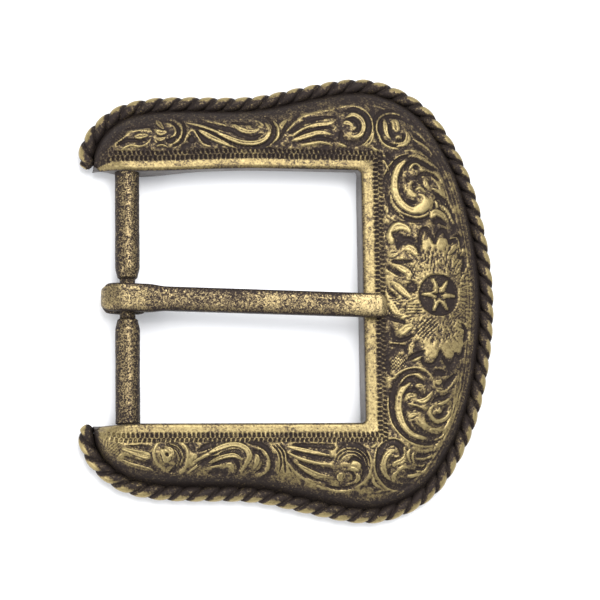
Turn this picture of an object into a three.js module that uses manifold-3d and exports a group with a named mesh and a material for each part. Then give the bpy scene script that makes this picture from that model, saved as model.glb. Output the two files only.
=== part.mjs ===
// Western belt buckle: a domed frame open at the heel, a rope edge, a turned heel bar and a hooked prong.
// Units are millimetres. The buckle lies on its back: +Z is the show face, +X runs from the heel bar to the
// crossbar that the prong rests on, and the frame is mirror-symmetric about the XZ plane.
// The origin is under the middle of the whole buckle, on the surface it lies on.
import * as THREE from 'three';
import * as BufferGeometryUtils from 'three/addons/utils/BufferGeometryUtils.js';
import Module from 'manifold-3d';

const wasm = await Module();
wasm.setup();

// ---- Driving dimensions ------------------------------------------------------------------------------
const WINDOW_WIDTH = 40.8;        // Y, between the arms, for a 38 mm strap
const BAR_TO_CROSSBAR = 37.6;     // X, heel bar's axis to the crossbar's inner face
const HEEL_LENGTH = 6.4;          // X, heel bar's axis to the rope's centre line at the arm tips
const CROSSBAR_BAND = 21.05;      // X, crossbar's inner face to the rope's centre line
const SHOULDER_BAND = 14.5;       // Y, window's edge to the rope's centre line, at the widest
const ROPE_RADIUS = 1.25;
const ROPE_LIFT = 0.65;           // under the rope
const GAP = 0.3;                  // clearance where pieces are seated together

const RIM_HEIGHT = 5.6;           // bright rim round the window, on the arms
const RIM_WIDTH = 1.5;
const CROSSBAR_RIM_WIDTH = 1.85;
const RIM_BEVEL = 0.25;
const CROSSBAR_DIP = 0.2;         // the rim is this much lower on the crossbar
const DOME_RISE = 0.9;            // how far the engraved field bulges above the rim
const GROOVE_HEIGHT = 3.5;        // where the field meets the rope
const TIP_FALL = 1.7;             // the arms droop this much at their tips
const TIP_FALL_LENGTH = 5.0;
const CORNER_RADIUS = 0.8;        // inner corners of the window
const ARM_FLARE = 0.3;            // the arms open outwards this much towards their tips

const SHELL = 2.0;                // wall of the hollow back
const FOOT_WIDTH = 1.4;           // flat ring that the buckle lies on, just inside the rope
const ARM_WALL_BOTTOM = 3.0;      // lower edge of the inner wall along the arms
const CROSSBAR_WALL_BOTTOM = 0.6; // and along the crossbar
const LIP_WIDTH = 1.2;            // thickness of that inner wall
const LUG_REACH_HEEL = 7.0;       // the wall deepens into a lug at the heel bar, over these lengths
const LUG_REACH_WINDOW = 12.0;
const LUG_END_WALL = 0.9;         // metal left behind the socket

const BAR_RADIUS = 1.95;
const NECK_RADIUS = 1.25;         // the neck carries the prong
const SHOULDER_LENGTH = 1.9;      // taper from the neck to full thickness
const SHOULDER_STEP = 0.32;       // its thick end is this much short of full thickness at the neck
const SPIGOT_RADIUS = 1.5;        // turned ends seated in the lugs
const SPIGOT_DEPTH = 2.0;
const NECK_SHIFT = -0.6;          // the neck is cast a little off the middle of the bar

const PRONG_WIDTH = 3.8;
const ROOT_WIDTH = 4.4;
const ROOT_PLAY = 0.9;            // each side, along the neck
const PRONG_THICKNESS = 1.9;
const PRONG_OVERHANG = 3.45;      // beyond the crossbar's inner face
const PRONG_SKEW = THREE.MathUtils.degToRad(-1.8);
const HOOK_WALL = 1.2;            // under the bar
const HOOK_CROWN = 1.4;           // over it
const HOOK_BACK = 2.65;           // behind it
const HOOK_LIFT = 0.25;           // under the hook
const SEAM = 0.4;                 // opening where the hook's end comes back under the shank

// ---- Places worked out from them ---------------------------------------------------------------------
const HALF_WINDOW = WINDOW_WIDTH / 2;
const ARM_LENGTH = BAR_TO_CROSSBAR + HEEL_LENGTH;
const CROSSBAR_X = (ARM_LENGTH - CROSSBAR_BAND) / 2;
const BAR_X = CROSSBAR_X - BAR_TO_CROSSBAR;
const ARM_TIP_X = CROSSBAR_X - ARM_LENGTH + ROPE_RADIUS + 0.2;
const HOOK_BORE = NECK_RADIUS + GAP;
const BAR_Z = HOOK_LIFT + HOOK_WALL + HOOK_BORE;
const ROPE_Z = ROPE_LIFT + ROPE_RADIUS;
const LUG_THICKNESS = SPIGOT_DEPTH + GAP + LUG_END_WALL;
const NECK_HALF = ROOT_WIDTH / 2 + ROOT_PLAY;

// ---- Outline -----------------------------------------------------------------------------------------
// Centre line of the rope for the upper half, from the middle of the crossbar to the end of the arm.
// Lengthwise 0 is the crossbar's inner face, 1 the far side of the crossbar and -1 the arm tips. Widthwise
// 0 is the middle, 1 the window's edge and 2 the widest place. The third number pairs each point with a
// place on the window's edge: 0 to 1 along the crossbar, 1 to 2 round the corner, 2 to 3 along the arm.
const OUTLINE = [
  [1, 0, 0], [0.97, 0.394, 0.4], [0.876, 0.853, 0.84], [0.752, 1.243, 1], [0.558, 1.669, 1.25],
  [0.42, 1.831, 1.5], [0.268, 1.938, 1.75], [0.1, 2, 2], [-0.035, 1.997, 2.04], [-0.12, 1.952, 2.11],
  [-0.201, 1.897, 2.19], [-0.365, 1.783, 2.365], [-0.452, 1.757, 2.457], [-0.649, 1.745, 2.665],
  [-0.76, 1.722, 2.775], [-0.867, 1.639, 2.86], [-0.947, 1.464, 2.925], [-0.985, 1.303, 2.965],
  [-1, 1.17, 2.985], [-0.998, 1.083, 3],
];
const STEPS_PER_SPAN = 2;
const spans = OUTLINE.length - 1;

function outlinePoint([lengthwise, widthwise]) {
  const x = CROSSBAR_X + lengthwise * (lengthwise > 0 ? CROSSBAR_BAND : ARM_LENGTH);
  const y = Math.min(widthwise, 1) * HALF_WINDOW + Math.max(widthwise - 1, 0) * SHOULDER_BAND;
  return new THREE.Vector3(x, y, ROPE_Z);
}

const ropePoints = OUTLINE.map(outlinePoint);
const mirrored = (p) => new THREE.Vector3(p.x, -p.y, p.z);
const ropeCurve = new THREE.CatmullRomCurve3(
  [...ropePoints.slice(1).reverse().map(mirrored), ...ropePoints], false, 'centripetal');

// A point on the window's edge for the upper half.
function windowEdge(place) {
  const armStart = CROSSBAR_X - CORNER_RADIUS;
  if (place <= 1) return new THREE.Vector3(CROSSBAR_X, place * (HALF_WINDOW - CORNER_RADIUS), 0);
  if (place < 2) {
    const turn = (place - 1) * Math.PI / 2;
    const corner = new THREE.Vector3(armStart, HALF_WINDOW - CORNER_RADIUS, 0);
    return corner.add(new THREE.Vector3(Math.cos(turn), Math.sin(turn), 0).multiplyScalar(CORNER_RADIUS));
  }
  const x = THREE.MathUtils.lerp(armStart, ARM_TIP_X, place - 2);
  const flare = ARM_FLARE * THREE.MathUtils.smoothstep(-x, -BAR_X - 2, -ARM_TIP_X);
  return new THREE.Vector3(x, HALF_WINDOW + flare, 0);
}

// ---- Frame -------------------------------------------------------------------------------------------
// The frame is a run of ribs from one arm tip round to the other. Each rib goes from the window's edge to
// the groove beside the rope and has a top and a bottom height at each of its columns.
const DOME_COLUMNS = 6;

// Height of the show face at a distance from the window's edge.
function faceHeight(distance, width, rimEdge, rim, groove) {
  const share = Math.max(0, (distance - rimEdge) / (width - rimEdge));
  return rim + DOME_RISE * Math.sin(Math.PI * share) - (rim - groove) * share ** 2.6;
}

// 1 at the heel bar, falling to 0 where the lug has run out.
function lugShare(x) {
  const reach = x < BAR_X ? LUG_REACH_HEEL : LUG_REACH_WINDOW;
  const away = Math.min(1, Math.abs(x - BAR_X - 1) / reach);
  return Math.cos(away * Math.PI / 2) ** 2;
}

function rib(step) {
  const side = step < 0 ? -1 : 1;
  const along = Math.abs(step) / STEPS_PER_SPAN;
  const span = Math.min(Math.floor(along), spans - 1);
  const place = THREE.MathUtils.lerp(OUTLINE[span][2], OUTLINE[span + 1][2], along - span);
  const u = 0.5 + step / (2 * spans * STEPS_PER_SPAN);
  const tangent = ropeCurve.getTangent(u);
  const inward = new THREE.Vector3(-tangent.y, tangent.x, 0).normalize();
  const outer = ropeCurve.getPoint(u).addScaledVector(inward, ROPE_RADIUS + GAP).setZ(0);
  const inner = windowEdge(place);
  inner.y *= side;

  const onCrossbar = 1 - THREE.MathUtils.smoothstep(place, 0.7, 2.1);
  const fall = TIP_FALL * Math.max(0, (ARM_TIP_X + TIP_FALL_LENGTH - inner.x) / TIP_FALL_LENGTH) ** 2;
  const rim = RIM_HEIGHT - CROSSBAR_DIP * onCrossbar - fall;
  const groove = GROOVE_HEIGHT - fall / 2;
  const lug = lugShare(inner.x);
  const wallBottom = THREE.MathUtils.lerp(ARM_WALL_BOTTOM, CROSSBAR_WALL_BOTTOM, onCrossbar) * (1 - lug);
  const width = inner.distanceTo(outer);
  const rimEdge = Math.min(THREE.MathUtils.lerp(RIM_WIDTH, CROSSBAR_RIM_WIDTH, onCrossbar), width * 0.2);
  const lip = Math.min(THREE.MathUtils.lerp(LIP_WIDTH, LUG_THICKNESS, lug), width * 0.35);
  const foot = Math.min(FOOT_WIDTH, width * 0.3);
  const slope = Math.min(0.6, width * 0.08);

  const topAt = (d) => faceHeight(d, width, rimEdge, rim, groove);
  const columns = [
    { d: 0, top: rim - RIM_BEVEL, bottom: wallBottom },
    { d: Math.min(RIM_BEVEL, width * 0.05), top: rim, bottom: wallBottom },
    { d: rimEdge * 0.8, top: rim, bottom: wallBottom },
    { d: Math.max(lip, rimEdge), bottom: wallBottom },
  ];
  for (let j = 0; j < DOME_COLUMNS; j++) {
    const share = j / (DOME_COLUMNS - 1);
    const d = THREE.MathUtils.lerp(columns[3].d + slope, width - foot - slope, share);
    columns.push({ d, bottom: Math.max(topAt(d) - SHELL, wallBottom / 2 + 0.3) });
  }
  columns.push({ d: width - foot, bottom: 0 }, { d: width, bottom: 0 });
  const across = outer.clone().sub(inner).normalize();
  return columns.map(({ d, top = topAt(d), bottom }) => {
    const at = inner.clone().addScaledVector(across, d);
    return { top: at.clone().setZ(top), bottom: at.clone().setZ(bottom) };
  });
}

// Closed surface over a run of ribs: show face, back, inner and outer walls and the two end ribs.
function shellGeometry(ribs) {
  const count = ribs[0].length;
  const positions = ribs.flatMap((columns) => columns.flatMap(({ top, bottom }) => [...top, ...bottom]));
  const topOf = (i, j) => 2 * (i * count + j);
  const bottomOf = (i, j) => topOf(i, j) + 1;
  const triangles = [];
  const quad = (a, b, c, d) => triangles.push(a, b, c, a, c, d);
  for (let i = 0; i + 1 < ribs.length; i++) {
    for (let j = 0; j + 1 < count; j++) {
      quad(topOf(i, j), topOf(i, j + 1), topOf(i + 1, j + 1), topOf(i + 1, j));
      quad(bottomOf(i, j), bottomOf(i + 1, j), bottomOf(i + 1, j + 1), bottomOf(i, j + 1));
    }
    quad(bottomOf(i, 0), topOf(i, 0), topOf(i + 1, 0), bottomOf(i + 1, 0));
    quad(topOf(i, count - 1), bottomOf(i, count - 1), bottomOf(i + 1, count - 1), topOf(i + 1, count - 1));
  }
  const last = ribs.length - 1;
  for (let j = 0; j + 1 < count; j++) {
    quad(topOf(0, j), bottomOf(0, j), bottomOf(0, j + 1), topOf(0, j + 1));
    quad(bottomOf(last, j), topOf(last, j), topOf(last, j + 1), bottomOf(last, j + 1));
  }
  const geometry = new THREE.BufferGeometry();
  geometry.setAttribute('position', new THREE.Float32BufferAttribute(positions, 3));
  geometry.setIndex(triangles);
  return geometry;
}

// ---- Solids ------------------------------------------------------------------------------------------
function toSolid(geometry) {
  const bare = geometry.clone();
  bare.deleteAttribute('normal');
  bare.deleteAttribute('uv');
  const merged = BufferGeometryUtils.mergeVertices(bare, 1e-4);
  return new wasm.Manifold(new wasm.Mesh({
    numProp: 3,
    vertProperties: merged.attributes.position.array,
    triVerts: new Uint32Array(merged.index.array),
  }));
}

function fromSolid(solid) {
  const { vertProperties, triVerts } = solid.getMesh();
  const geometry = new THREE.BufferGeometry();
  geometry.setAttribute('position', new THREE.BufferAttribute(vertProperties, 3));
  geometry.setIndex(new THREE.BufferAttribute(triVerts, 1));
  return BufferGeometryUtils.toCreasedNormals(geometry, 0.6);
}

// The run of ribs, with a socket for the heel bar bored into each lug.
function frameGeometry() {
  const ribs = [];
  for (let step = -spans * STEPS_PER_SPAN; step <= spans * STEPS_PER_SPAN; step++) ribs.push(rib(step));
  let solid = toSolid(shellGeometry(ribs));
  const start = HALF_WINDOW - 1;
  const end = HALF_WINDOW + SPIGOT_DEPTH + GAP;
  for (const side of [-1, 1]) {
    const socket = new THREE.CylinderGeometry(SPIGOT_RADIUS + GAP, SPIGOT_RADIUS + GAP, end - start, 20);
    socket.translate(BAR_X, side * (start + end) / 2, BAR_Z);
    solid = solid.subtract(toSolid(socket));
  }
  return fromSolid(solid);
}

function ropeGeometry() {
  const section = new THREE.Shape();
  section.absarc(0, 0, ROPE_RADIUS, 0, 2 * Math.PI);
  return new THREE.ExtrudeGeometry(section, {
    steps: 76, curveSegments: 8, bevelEnabled: false, extrudePath: ropeCurve,
  });
}

// Turned bar, revolved about Y: full thickness, a taper down to the neck, and a spigot at each end.
function heelBarGeometry() {
  const seat = HALF_WINDOW - GAP;
  const end = HALF_WINDOW + SPIGOT_DEPTH;
  const half = (side) => [
    [NECK_RADIUS, side * NECK_HALF + NECK_SHIFT],
    [BAR_RADIUS - SHOULDER_STEP, side * (NECK_HALF + 0.35) + NECK_SHIFT],
    [BAR_RADIUS, side * (NECK_HALF + SHOULDER_LENGTH) + NECK_SHIFT],
    [BAR_RADIUS, side * seat], [SPIGOT_RADIUS, side * seat], [SPIGOT_RADIUS, side * end], [0, side * end],
  ];
  const profile = [...half(-1).reverse(), ...half(1)].map(([r, y]) => new THREE.Vector2(r, y));
  return new THREE.LatheGeometry(profile, 20);
}

// Side view of the prong about the bar's axis: hook, seam and a shank that climbs onto the crossbar rim.
// Its heights are those of its underside above the axis.
function prongSide() {
  const tip = BAR_TO_CROSSBAR + PRONG_OVERHANG;
  const rim = RIM_HEIGHT - CROSSBAR_DIP;
  const faceWidth = CROSSBAR_BAND - ROPE_RADIUS - GAP;
  const onRim = rim + GAP - BAR_Z + 0.1;
  const atTip = faceHeight(PRONG_OVERHANG, faceWidth, CROSSBAR_RIM_WIDTH, rim, GROOVE_HEIGHT) + GAP - BAR_Z;
  const top = onRim + PRONG_THICKNESS;
  const crown = HOOK_BORE + HOOK_CROWN;
  const back = -HOOK_BORE - HOOK_BACK;
  const bottom = -HOOK_BORE - HOOK_WALL;
  const front = HOOK_BORE + HOOK_WALL;
  const seamLow = HOOK_BORE * 0.3;
  const seamHigh = seamLow + SEAM;
  const shape = new THREE.Shape();
  shape.moveTo(front, seamHigh);
  shape.lineTo(BAR_TO_CROSSBAR, onRim);
  shape.lineTo(tip - 0.6, atTip);
  shape.quadraticCurveTo(tip, atTip + 0.1, tip, (atTip + top) / 2);
  shape.quadraticCurveTo(tip, top - 0.2, tip - 1.2, top - 0.1);
  shape.quadraticCurveTo(tip - 2.5, top + 0.1, tip - 5, top);
  shape.lineTo(5, crown + 0.2);
  shape.quadraticCurveTo(2, crown, -0.6, crown);
  shape.quadraticCurveTo(back, crown, back, 0);
  shape.quadraticCurveTo(back, bottom, 0, bottom);
  shape.quadraticCurveTo(front, bottom, front, 0);
  shape.lineTo(front, seamLow);
  shape.absarc(0, 0, HOOK_BORE, Math.asin(seamLow / HOOK_BORE),
    Math.asin(seamHigh / HOOK_BORE) - 2 * Math.PI, true);
  return shape;
}

// Plan of the prong along its own length: square-shouldered root, slimmer shank and round tip.
function prongPlan() {
  const tip = BAR_TO_CROSSBAR + PRONG_OVERHANG;
  const back = -HOOK_BORE - HOOK_BACK;
  const [w, r] = [PRONG_WIDTH / 2, ROOT_WIDTH / 2];
  const corner = 0.8;
  const shape = new THREE.Shape();
  shape.moveTo(back, corner - r);
  shape.quadraticCurveTo(back, -r, back + corner, -r);
  shape.lineTo(3, -r);
  shape.bezierCurveTo(4.5, -r, 4.5, -w, 6, -w);
  shape.lineTo(tip - w, -w);
  shape.absarc(tip - w, 0, w, -Math.PI / 2, Math.PI / 2);
  shape.lineTo(6, w);
  shape.bezierCurveTo(4.5, w, 4.5, r, 3, r);
  shape.lineTo(back + corner, r);
  shape.quadraticCurveTo(back, r, back, r - corner);
  return shape;
}

// The prong is what its side view and its plan have in common. It leans a little across the buckle, but its
// bore stays in line with the bar.
function prongGeometry() {
  const settings = { steps: 1, curveSegments: 10, bevelEnabled: false };
  const side = new THREE.ExtrudeGeometry(prongSide(), { ...settings, depth: 3 * ROOT_WIDTH });
  side.translate(0, 0, -1.5 * ROOT_WIDTH);
  side.rotateX(Math.PI / 2);
  const plan = new THREE.ExtrudeGeometry(prongPlan(), { ...settings, depth: 4 * RIM_HEIGHT });
  plan.translate(0, 0, -2 * RIM_HEIGHT);
  plan.rotateZ(PRONG_SKEW);
  plan.translate(0, NECK_SHIFT, 0);
  return fromSolid(toSolid(side).intersect(toSolid(plan)));
}

// ---- Assembly ----------------------------------------------------------------------------------------
function piece(name, geometry, color, roughness, position = [0, 0, 0]) {
  const mesh = new THREE.Mesh(geometry, new THREE.MeshStandardMaterial({ color, roughness, metalness: 1 }));
  mesh.name = name;
  mesh.position.set(...position);
  return mesh;
}

const buckle = new THREE.Group();
buckle.add(
  piece('frame', frameGeometry(), 0x9c8a5c, 0.42),
  piece('rope_edge', ropeGeometry(), 0x8d7d55, 0.45),
  piece('heel_bar', heelBarGeometry(), 0x84755a, 0.5, [BAR_X, 0, BAR_Z]),
  piece('prong', prongGeometry(), 0x7a6c55, 0.38, [BAR_X, 0, BAR_Z]),
);

export default buckle;
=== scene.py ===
# %% [markdown]
# # A western belt buckle in antiqued brass
# The buckle is a domed frame with an engraved face, a twisted rope edge, a turned heel bar and a prong
# that hinges on the bar. The frame file holds the plain solids. Here each solid is replaced by a finely
# shaped piece: the face is carved by a height map, the rope is wound from two strands, the bar and the
# prong are swept sections. All work is in millimetres and turned into metres when a mesh is made.

# %% Load the frame
import math
import bpy
import numpy as np
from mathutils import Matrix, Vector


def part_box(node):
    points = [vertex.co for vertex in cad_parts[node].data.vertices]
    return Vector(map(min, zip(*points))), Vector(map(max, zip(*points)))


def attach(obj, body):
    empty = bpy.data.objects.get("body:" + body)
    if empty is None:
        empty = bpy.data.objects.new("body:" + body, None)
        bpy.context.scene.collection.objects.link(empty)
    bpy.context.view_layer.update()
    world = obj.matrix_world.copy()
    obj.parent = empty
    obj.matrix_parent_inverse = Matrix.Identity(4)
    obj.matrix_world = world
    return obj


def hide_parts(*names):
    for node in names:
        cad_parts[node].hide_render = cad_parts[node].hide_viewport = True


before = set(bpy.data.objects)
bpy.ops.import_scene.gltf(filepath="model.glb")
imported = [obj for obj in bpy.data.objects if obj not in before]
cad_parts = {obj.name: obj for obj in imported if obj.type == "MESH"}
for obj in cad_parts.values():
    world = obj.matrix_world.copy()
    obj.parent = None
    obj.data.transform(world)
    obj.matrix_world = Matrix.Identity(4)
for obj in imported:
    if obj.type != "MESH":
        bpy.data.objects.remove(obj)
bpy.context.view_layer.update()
MM = 0.001


def box_mm(node):
    low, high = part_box(node)
    return np.array(low) / MM, np.array(high) / MM


# %% [markdown]
# ## Sizes
# The frame file gives the outer boxes and the hinge. What the boxes don't say, such as the rim's width
# or the height of the dome, is a named value here.

# %% Sizes
rope_low, rope_high = box_mm("rope_edge")
bar_low, bar_high = box_mm("heel_bar")
BAR_X = (bar_low[0] + bar_high[0]) / 2
BAR_Z = (bar_low[2] + bar_high[2]) / 2
BAR_RADIUS = (bar_high[2] - bar_low[2]) / 2
ROPE_RADIUS = (rope_high[2] - rope_low[2]) / 2
ROPE_Z = (rope_high[2] + rope_low[2]) / 2
WINDOW_WIDTH = 40.8
HALF_WINDOW = WINDOW_WIDTH / 2
BAR_TO_CROSSBAR = 37.6
CROSSBAR_X = BAR_X + BAR_TO_CROSSBAR
HEEL_LENGTH = 6.4
ARM_LENGTH = BAR_TO_CROSSBAR + HEEL_LENGTH
CROSSBAR_BAND = 21.05
SHOULDER_BAND = 14.5
ARM_TIP_X = CROSSBAR_X - ARM_LENGTH + ROPE_RADIUS + 0.2
RIM_HEIGHT = 5.6
RIM_WIDTH = 1.5
CROSSBAR_RIM_WIDTH = 1.85
CROSSBAR_DIP = 0.2
DOME_RISE = 0.9
GROOVE_HEIGHT = 3.3
NECK_SHIFT = -0.6
print("bar axis", round(BAR_X, 2), round(BAR_Z, 2), "crossbar", round(CROSSBAR_X, 2))

# %% [markdown]
# ## Camera
# The buckle is seen from almost straight above, from a little heel-wards and to the lower side. The long
# lens keeps its outline nearly flat, and the standard view transform keeps its colours plain.

# %% Camera
LENS = 117.85
CAMERA_PLACE = (-0.05216, -0.04237, 0.310)
CAMERA_TURN = (0.136, -0.171, -0.015)
scene = bpy.context.scene
camera_data = bpy.data.cameras.new("camera")
camera_data.lens = LENS
camera_data.sensor_width = 36.0
camera = bpy.data.objects.new("camera", camera_data)
camera.location = CAMERA_PLACE
camera.rotation_euler = CAMERA_TURN
scene.collection.objects.link(camera)
scene.camera = camera
scene.view_settings.view_transform = "Standard"
print("camera at", CAMERA_PLACE, "lens", LENS)

# %% [markdown]
# ## Floor and lights
# The floor is plain and pale, a hair below the buckle so that the two faces don't fight. A studio tent
# could be built round it, but two large soft lights and a pale world do the same. The overhead light
# gives the bright side of every crown, and the weaker side light fills the shadows.

# %% Floor and lights
bpy.ops.mesh.primitive_plane_add(size=40.0, location=(0, 0, -0.0001))
floor = bpy.context.object
floor.name = "floor"
floor_finish = bpy.data.materials.new("floor")
floor_finish.use_nodes = True
floor_shader = floor_finish.node_tree.nodes["Principled BSDF"]
floor_shader.inputs["Base Color"].default_value = (0.93, 0.93, 0.94, 1)
floor_shader.inputs["Roughness"].default_value = 0.9
floor.data.materials.append(floor_finish)


def soft_light(name, place, size, power):
    """A rectangular light that faces the middle of the buckle."""
    data = bpy.data.lights.new(name, "AREA")
    data.shape = "RECTANGLE"
    data.size, data.size_y = size
    data.energy = power
    light = bpy.data.objects.new(name, data)
    light.location = place
    x, y, z = place
    light.rotation_euler = (math.atan2(math.hypot(x, y), z), 0, math.atan2(x, -y))
    scene.collection.objects.link(light)


soft_light("overhead", (0.10, 0.30, 0.75), (0.6, 0.5), 6.5)
soft_light("side", (-0.65, -0.25, 0.40), (0.5, 0.4), 2.5)
world = bpy.data.worlds.new("studio")
world.use_nodes = True
world.node_tree.nodes["Background"].inputs["Color"].default_value = (0.95, 0.97, 1.0, 1)
world.node_tree.nodes["Background"].inputs["Strength"].default_value = 0.95
scene.world = world

# %% [markdown]
# ## Shader maths as expressions
# A finish is easier to read as a formula than as a web of nodes, so one small class wraps a socket and
# adds a Math node for each operator. A `Finish` makes the material and any other node.

# %% Shader helpers


class Term:
    """A shader value that can be added, multiplied and so on."""

    def __init__(self, finish, socket):
        self.finish, self.socket = finish, socket

    def maths(self, operation, *values, clamp=False):
        return self.finish.node("ShaderNodeMath", {"operation": operation, "use_clamp": clamp},
                                {i: v for i, v in enumerate(values)})[0]

    def __add__(self, other):
        return self.maths("ADD", self, other)

    def __radd__(self, other):
        return self.maths("ADD", other, self)

    def __sub__(self, other):
        return self.maths("SUBTRACT", self, other)

    def __rsub__(self, other):
        return self.maths("SUBTRACT", other, self)

    def __mul__(self, other):
        return self.maths("MULTIPLY", self, other)

    def __rmul__(self, other):
        return self.maths("MULTIPLY", other, self)

    def clamped(self):
        return self.maths("ADD", self, 0.0, clamp=True)

    def step(self, low, high):
        return self.finish.node("ShaderNodeMapRange", {"interpolation_type": "SMOOTHSTEP"},
                                {"Value": self, "From Min": low, "From Max": high})[0]


class Finish:
    """One material: makes nodes and joins them."""

    def __init__(self, name):
        self.material = bpy.data.materials.new(name)
        self.material.use_nodes = True
        self.tree = self.material.node_tree
        self.shader = self.tree.nodes["Principled BSDF"]
        self.place = self.node("ShaderNodeTexCoord")["Object"]

    def node(self, kind, settings=None, values=None):
        made = self.tree.nodes.new(kind)
        for key, value in (settings or {}).items():
            setattr(made, key, value)
        for key, value in (values or {}).items():
            self.join(value, made.inputs[key])
        return Outputs(self, made)

    def join(self, value, socket):
        if isinstance(value, Term):
            self.tree.links.new(value.socket, socket)
        elif socket.type == "RGBA" and len(value) == 3:
            socket.default_value = (*value, 1)
        else:
            socket.default_value = value

    def blend(self, share, a, b):
        """From colour a to colour b. A Mix node keeps its colours in inputs 6 and 7 and output 2."""
        return self.node("ShaderNodeMix", {"data_type": "RGBA"}, {0: share, 6: a, 7: b})[2]

    def noise(self, scale, detail, rough, distortion=0.0):
        return self.node("ShaderNodeTexNoise", {}, {
            "Vector": self.place, "Scale": scale, "Detail": detail, "Roughness": rough,
            "Distortion": distortion})[0]

    def painted(self, name):
        return self.node("ShaderNodeAttribute", {"attribute_name": name})["Fac"]

    def bump(self, height, strength, distance):
        return self.node("ShaderNodeBump", {}, {
            "Height": height, "Strength": strength, "Distance": distance})[0]

    def surface(self, **values):
        for key, value in values.items():
            self.join(value, self.shader.inputs[key.replace("_", " ")])
        return self.material


class Outputs:
    """The outputs of one node, each read as a Term."""

    def __init__(self, finish, made):
        self.finish, self.made = finish, made

    def __getitem__(self, key):
        return Term(self.finish, self.made.outputs[key])


print("shader helpers ready")

# %% [markdown]
# ## Antiqued brass
# Antiquing leaves a nearly black film in every recess and rubs the high places back to pale yellow
# brass. Each mesh carries a painted value from 0 in a recess to 1 on a rubbed edge, and on some pieces
# it also holds painted shade and painted highlight. Fine noise breaks up its border, and the colour runs
# from black-brown through bronze to brass. A second painted value turns the window's walls a mottled
# grey, a painted reflection of the pale floor.

# %% Colours
PATINA = (0.025, 0.0185, 0.0165)
BRONZE = (0.095, 0.071, 0.045)
BRASS = (0.225, 0.172, 0.080)
PALE_BRASS = (0.315, 0.250, 0.118)
# Grey of the painted reflection of the pale floor, used on the window's walls.
WALL_REFLECTION_GREY = (0.22, 0.21, 0.205)
print("patina", PATINA, "pale brass", PALE_BRASS)

# %% Antiqued brass
FINE_GRAIN = 3400.0
WORM_MARKS = 1500.0
BROAD_PATCHES = 230.0


def antiqued(name, bright=BRASS, pale=PALE_BRASS, mottle=1.0, gloss=0.42, size=1.0):
    """Brass that is black in its recesses, with mottling of a given strength and size."""
    finish = Finish(name)
    wear_and_painted_light = finish.painted("wear_and_painted_light")
    fine = finish.noise(FINE_GRAIN / size, 3.0, 0.65, 0.6)
    worms = finish.noise(WORM_MARKS / size, 2.0, 0.5, 1.8)
    broad = finish.noise(BROAD_PATCHES, 3.0, 0.5)
    spread = (fine - 0.5) * (1.5 * mottle) + (worms - 0.5) * (1.3 * mottle) + (broad - 0.5) * 0.5
    mask = (wear_and_painted_light + spread).clamped()
    low = finish.blend(mask.step(0.12, 0.45), PATINA, BRONZE)
    middle = finish.blend(mask.step(0.38, 0.66), low, bright)
    rubbed = finish.blend(mask.step(0.64, 1.0), middle, pale)
    # Painted reflection: on the window's walls the colour turns mostly to a mottled grey, standing in for
    # the pale floor seen in the metal.
    reflection_share = finish.painted("wall_reflection") * (broad.step(0.25, 0.75) * 0.35 + 0.62 - fine * 0.1)
    colour = finish.blend(reflection_share, rubbed, WALL_REFLECTION_GREY)
    height = fine * 0.5 + worms * 0.5
    return finish.surface(
        Base_Color=colour,
        Metallic=0.45 + mask.step(0.1, 0.6) * 0.5,
        Roughness=0.60 - mask.step(0.15, 0.8) * (0.60 - gloss) + (broad - 0.5) * 0.15,
        Specular_IOR_Level=0.12,
        Normal=finish.bump(height, 0.5, 0.00005))


frame_brass = antiqued("frame_brass", mottle=0.85)
rope_brass = antiqued("rope_brass", mottle=0.9)
bar_brass = antiqued("bar_brass", bright=(0.17, 0.128, 0.066), pale=(0.30, 0.228, 0.118),
                     mottle=2.7, size=0.78)
prong_brass = antiqued("prong_brass", bright=(0.18, 0.138, 0.070), pale=(0.33, 0.255, 0.125),
                       mottle=1.45, size=0.85, gloss=0.38)
print("finishes", [m.name for m in (frame_brass, rope_brass, bar_brass, prong_brass)])

# %% [markdown]
# ## Meshes from rings of points
# Every piece here is a tube: a closed ring of points, repeated along the piece. Modifiers could sweep a
# section too, but with rings each point has a known place, so its wear and its painted shade and highlight
# can be worked out by formula. The helper also says which body a piece rides on and which plain solid it
# replaces.

# %% Mesh helpers


def tube_faces(rings, around):
    """Quads over a run of closed rings, with an n-sided face at each end."""
    start = np.arange(rings - 1)[:, None] * around
    here = np.arange(around)[None, :]
    after = (here + 1) % around
    quads = np.stack([start + here, start + after, start + around + after, start + around + here], -1)
    faces = quads.reshape(-1, 4).tolist()
    faces.append(list(range(around))[::-1])
    faces.append(list(range((rings - 1) * around, rings * around)))
    return faces


def make_piece(name, x, y, z, wear_and_painted_light, finish, body, node, wall_reflection=None):
    """A smooth tube from rows of points in millimetres, with its painted wear and painted light, riding on
    a body.
    """
    mesh = bpy.data.meshes.new(name)
    points = np.stack([x, y, z], -1).reshape(-1, 3) * MM
    mesh.from_pydata(points.tolist(), [], tube_faces(*x.shape))
    mesh.polygons.foreach_set("use_smooth", [True] * len(mesh.polygons))
    wall_reflection = np.zeros(x.shape) if wall_reflection is None else wall_reflection
    for label, values in (("wear_and_painted_light", wear_and_painted_light), ("wall_reflection", wall_reflection)):
        layer = mesh.attributes.new(label, "FLOAT", "POINT")
        layer.data.foreach_set("value", values.ravel().astype(np.float32))
    mesh.materials.append(finish)
    mesh.update()
    piece = bpy.data.objects.new(name, mesh)
    scene.collection.objects.link(piece)
    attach(piece, body)
    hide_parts(node)
    print(name, len(mesh.vertices), "points", len(mesh.polygons), "faces")


def smooth_step(value, low, high):
    """From 0 at low to 1 at high, with a soft start and end."""
    t = np.clip((value - low) / (high - low), 0, 1)
    return t * t * (3 - 2 * t)
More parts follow.
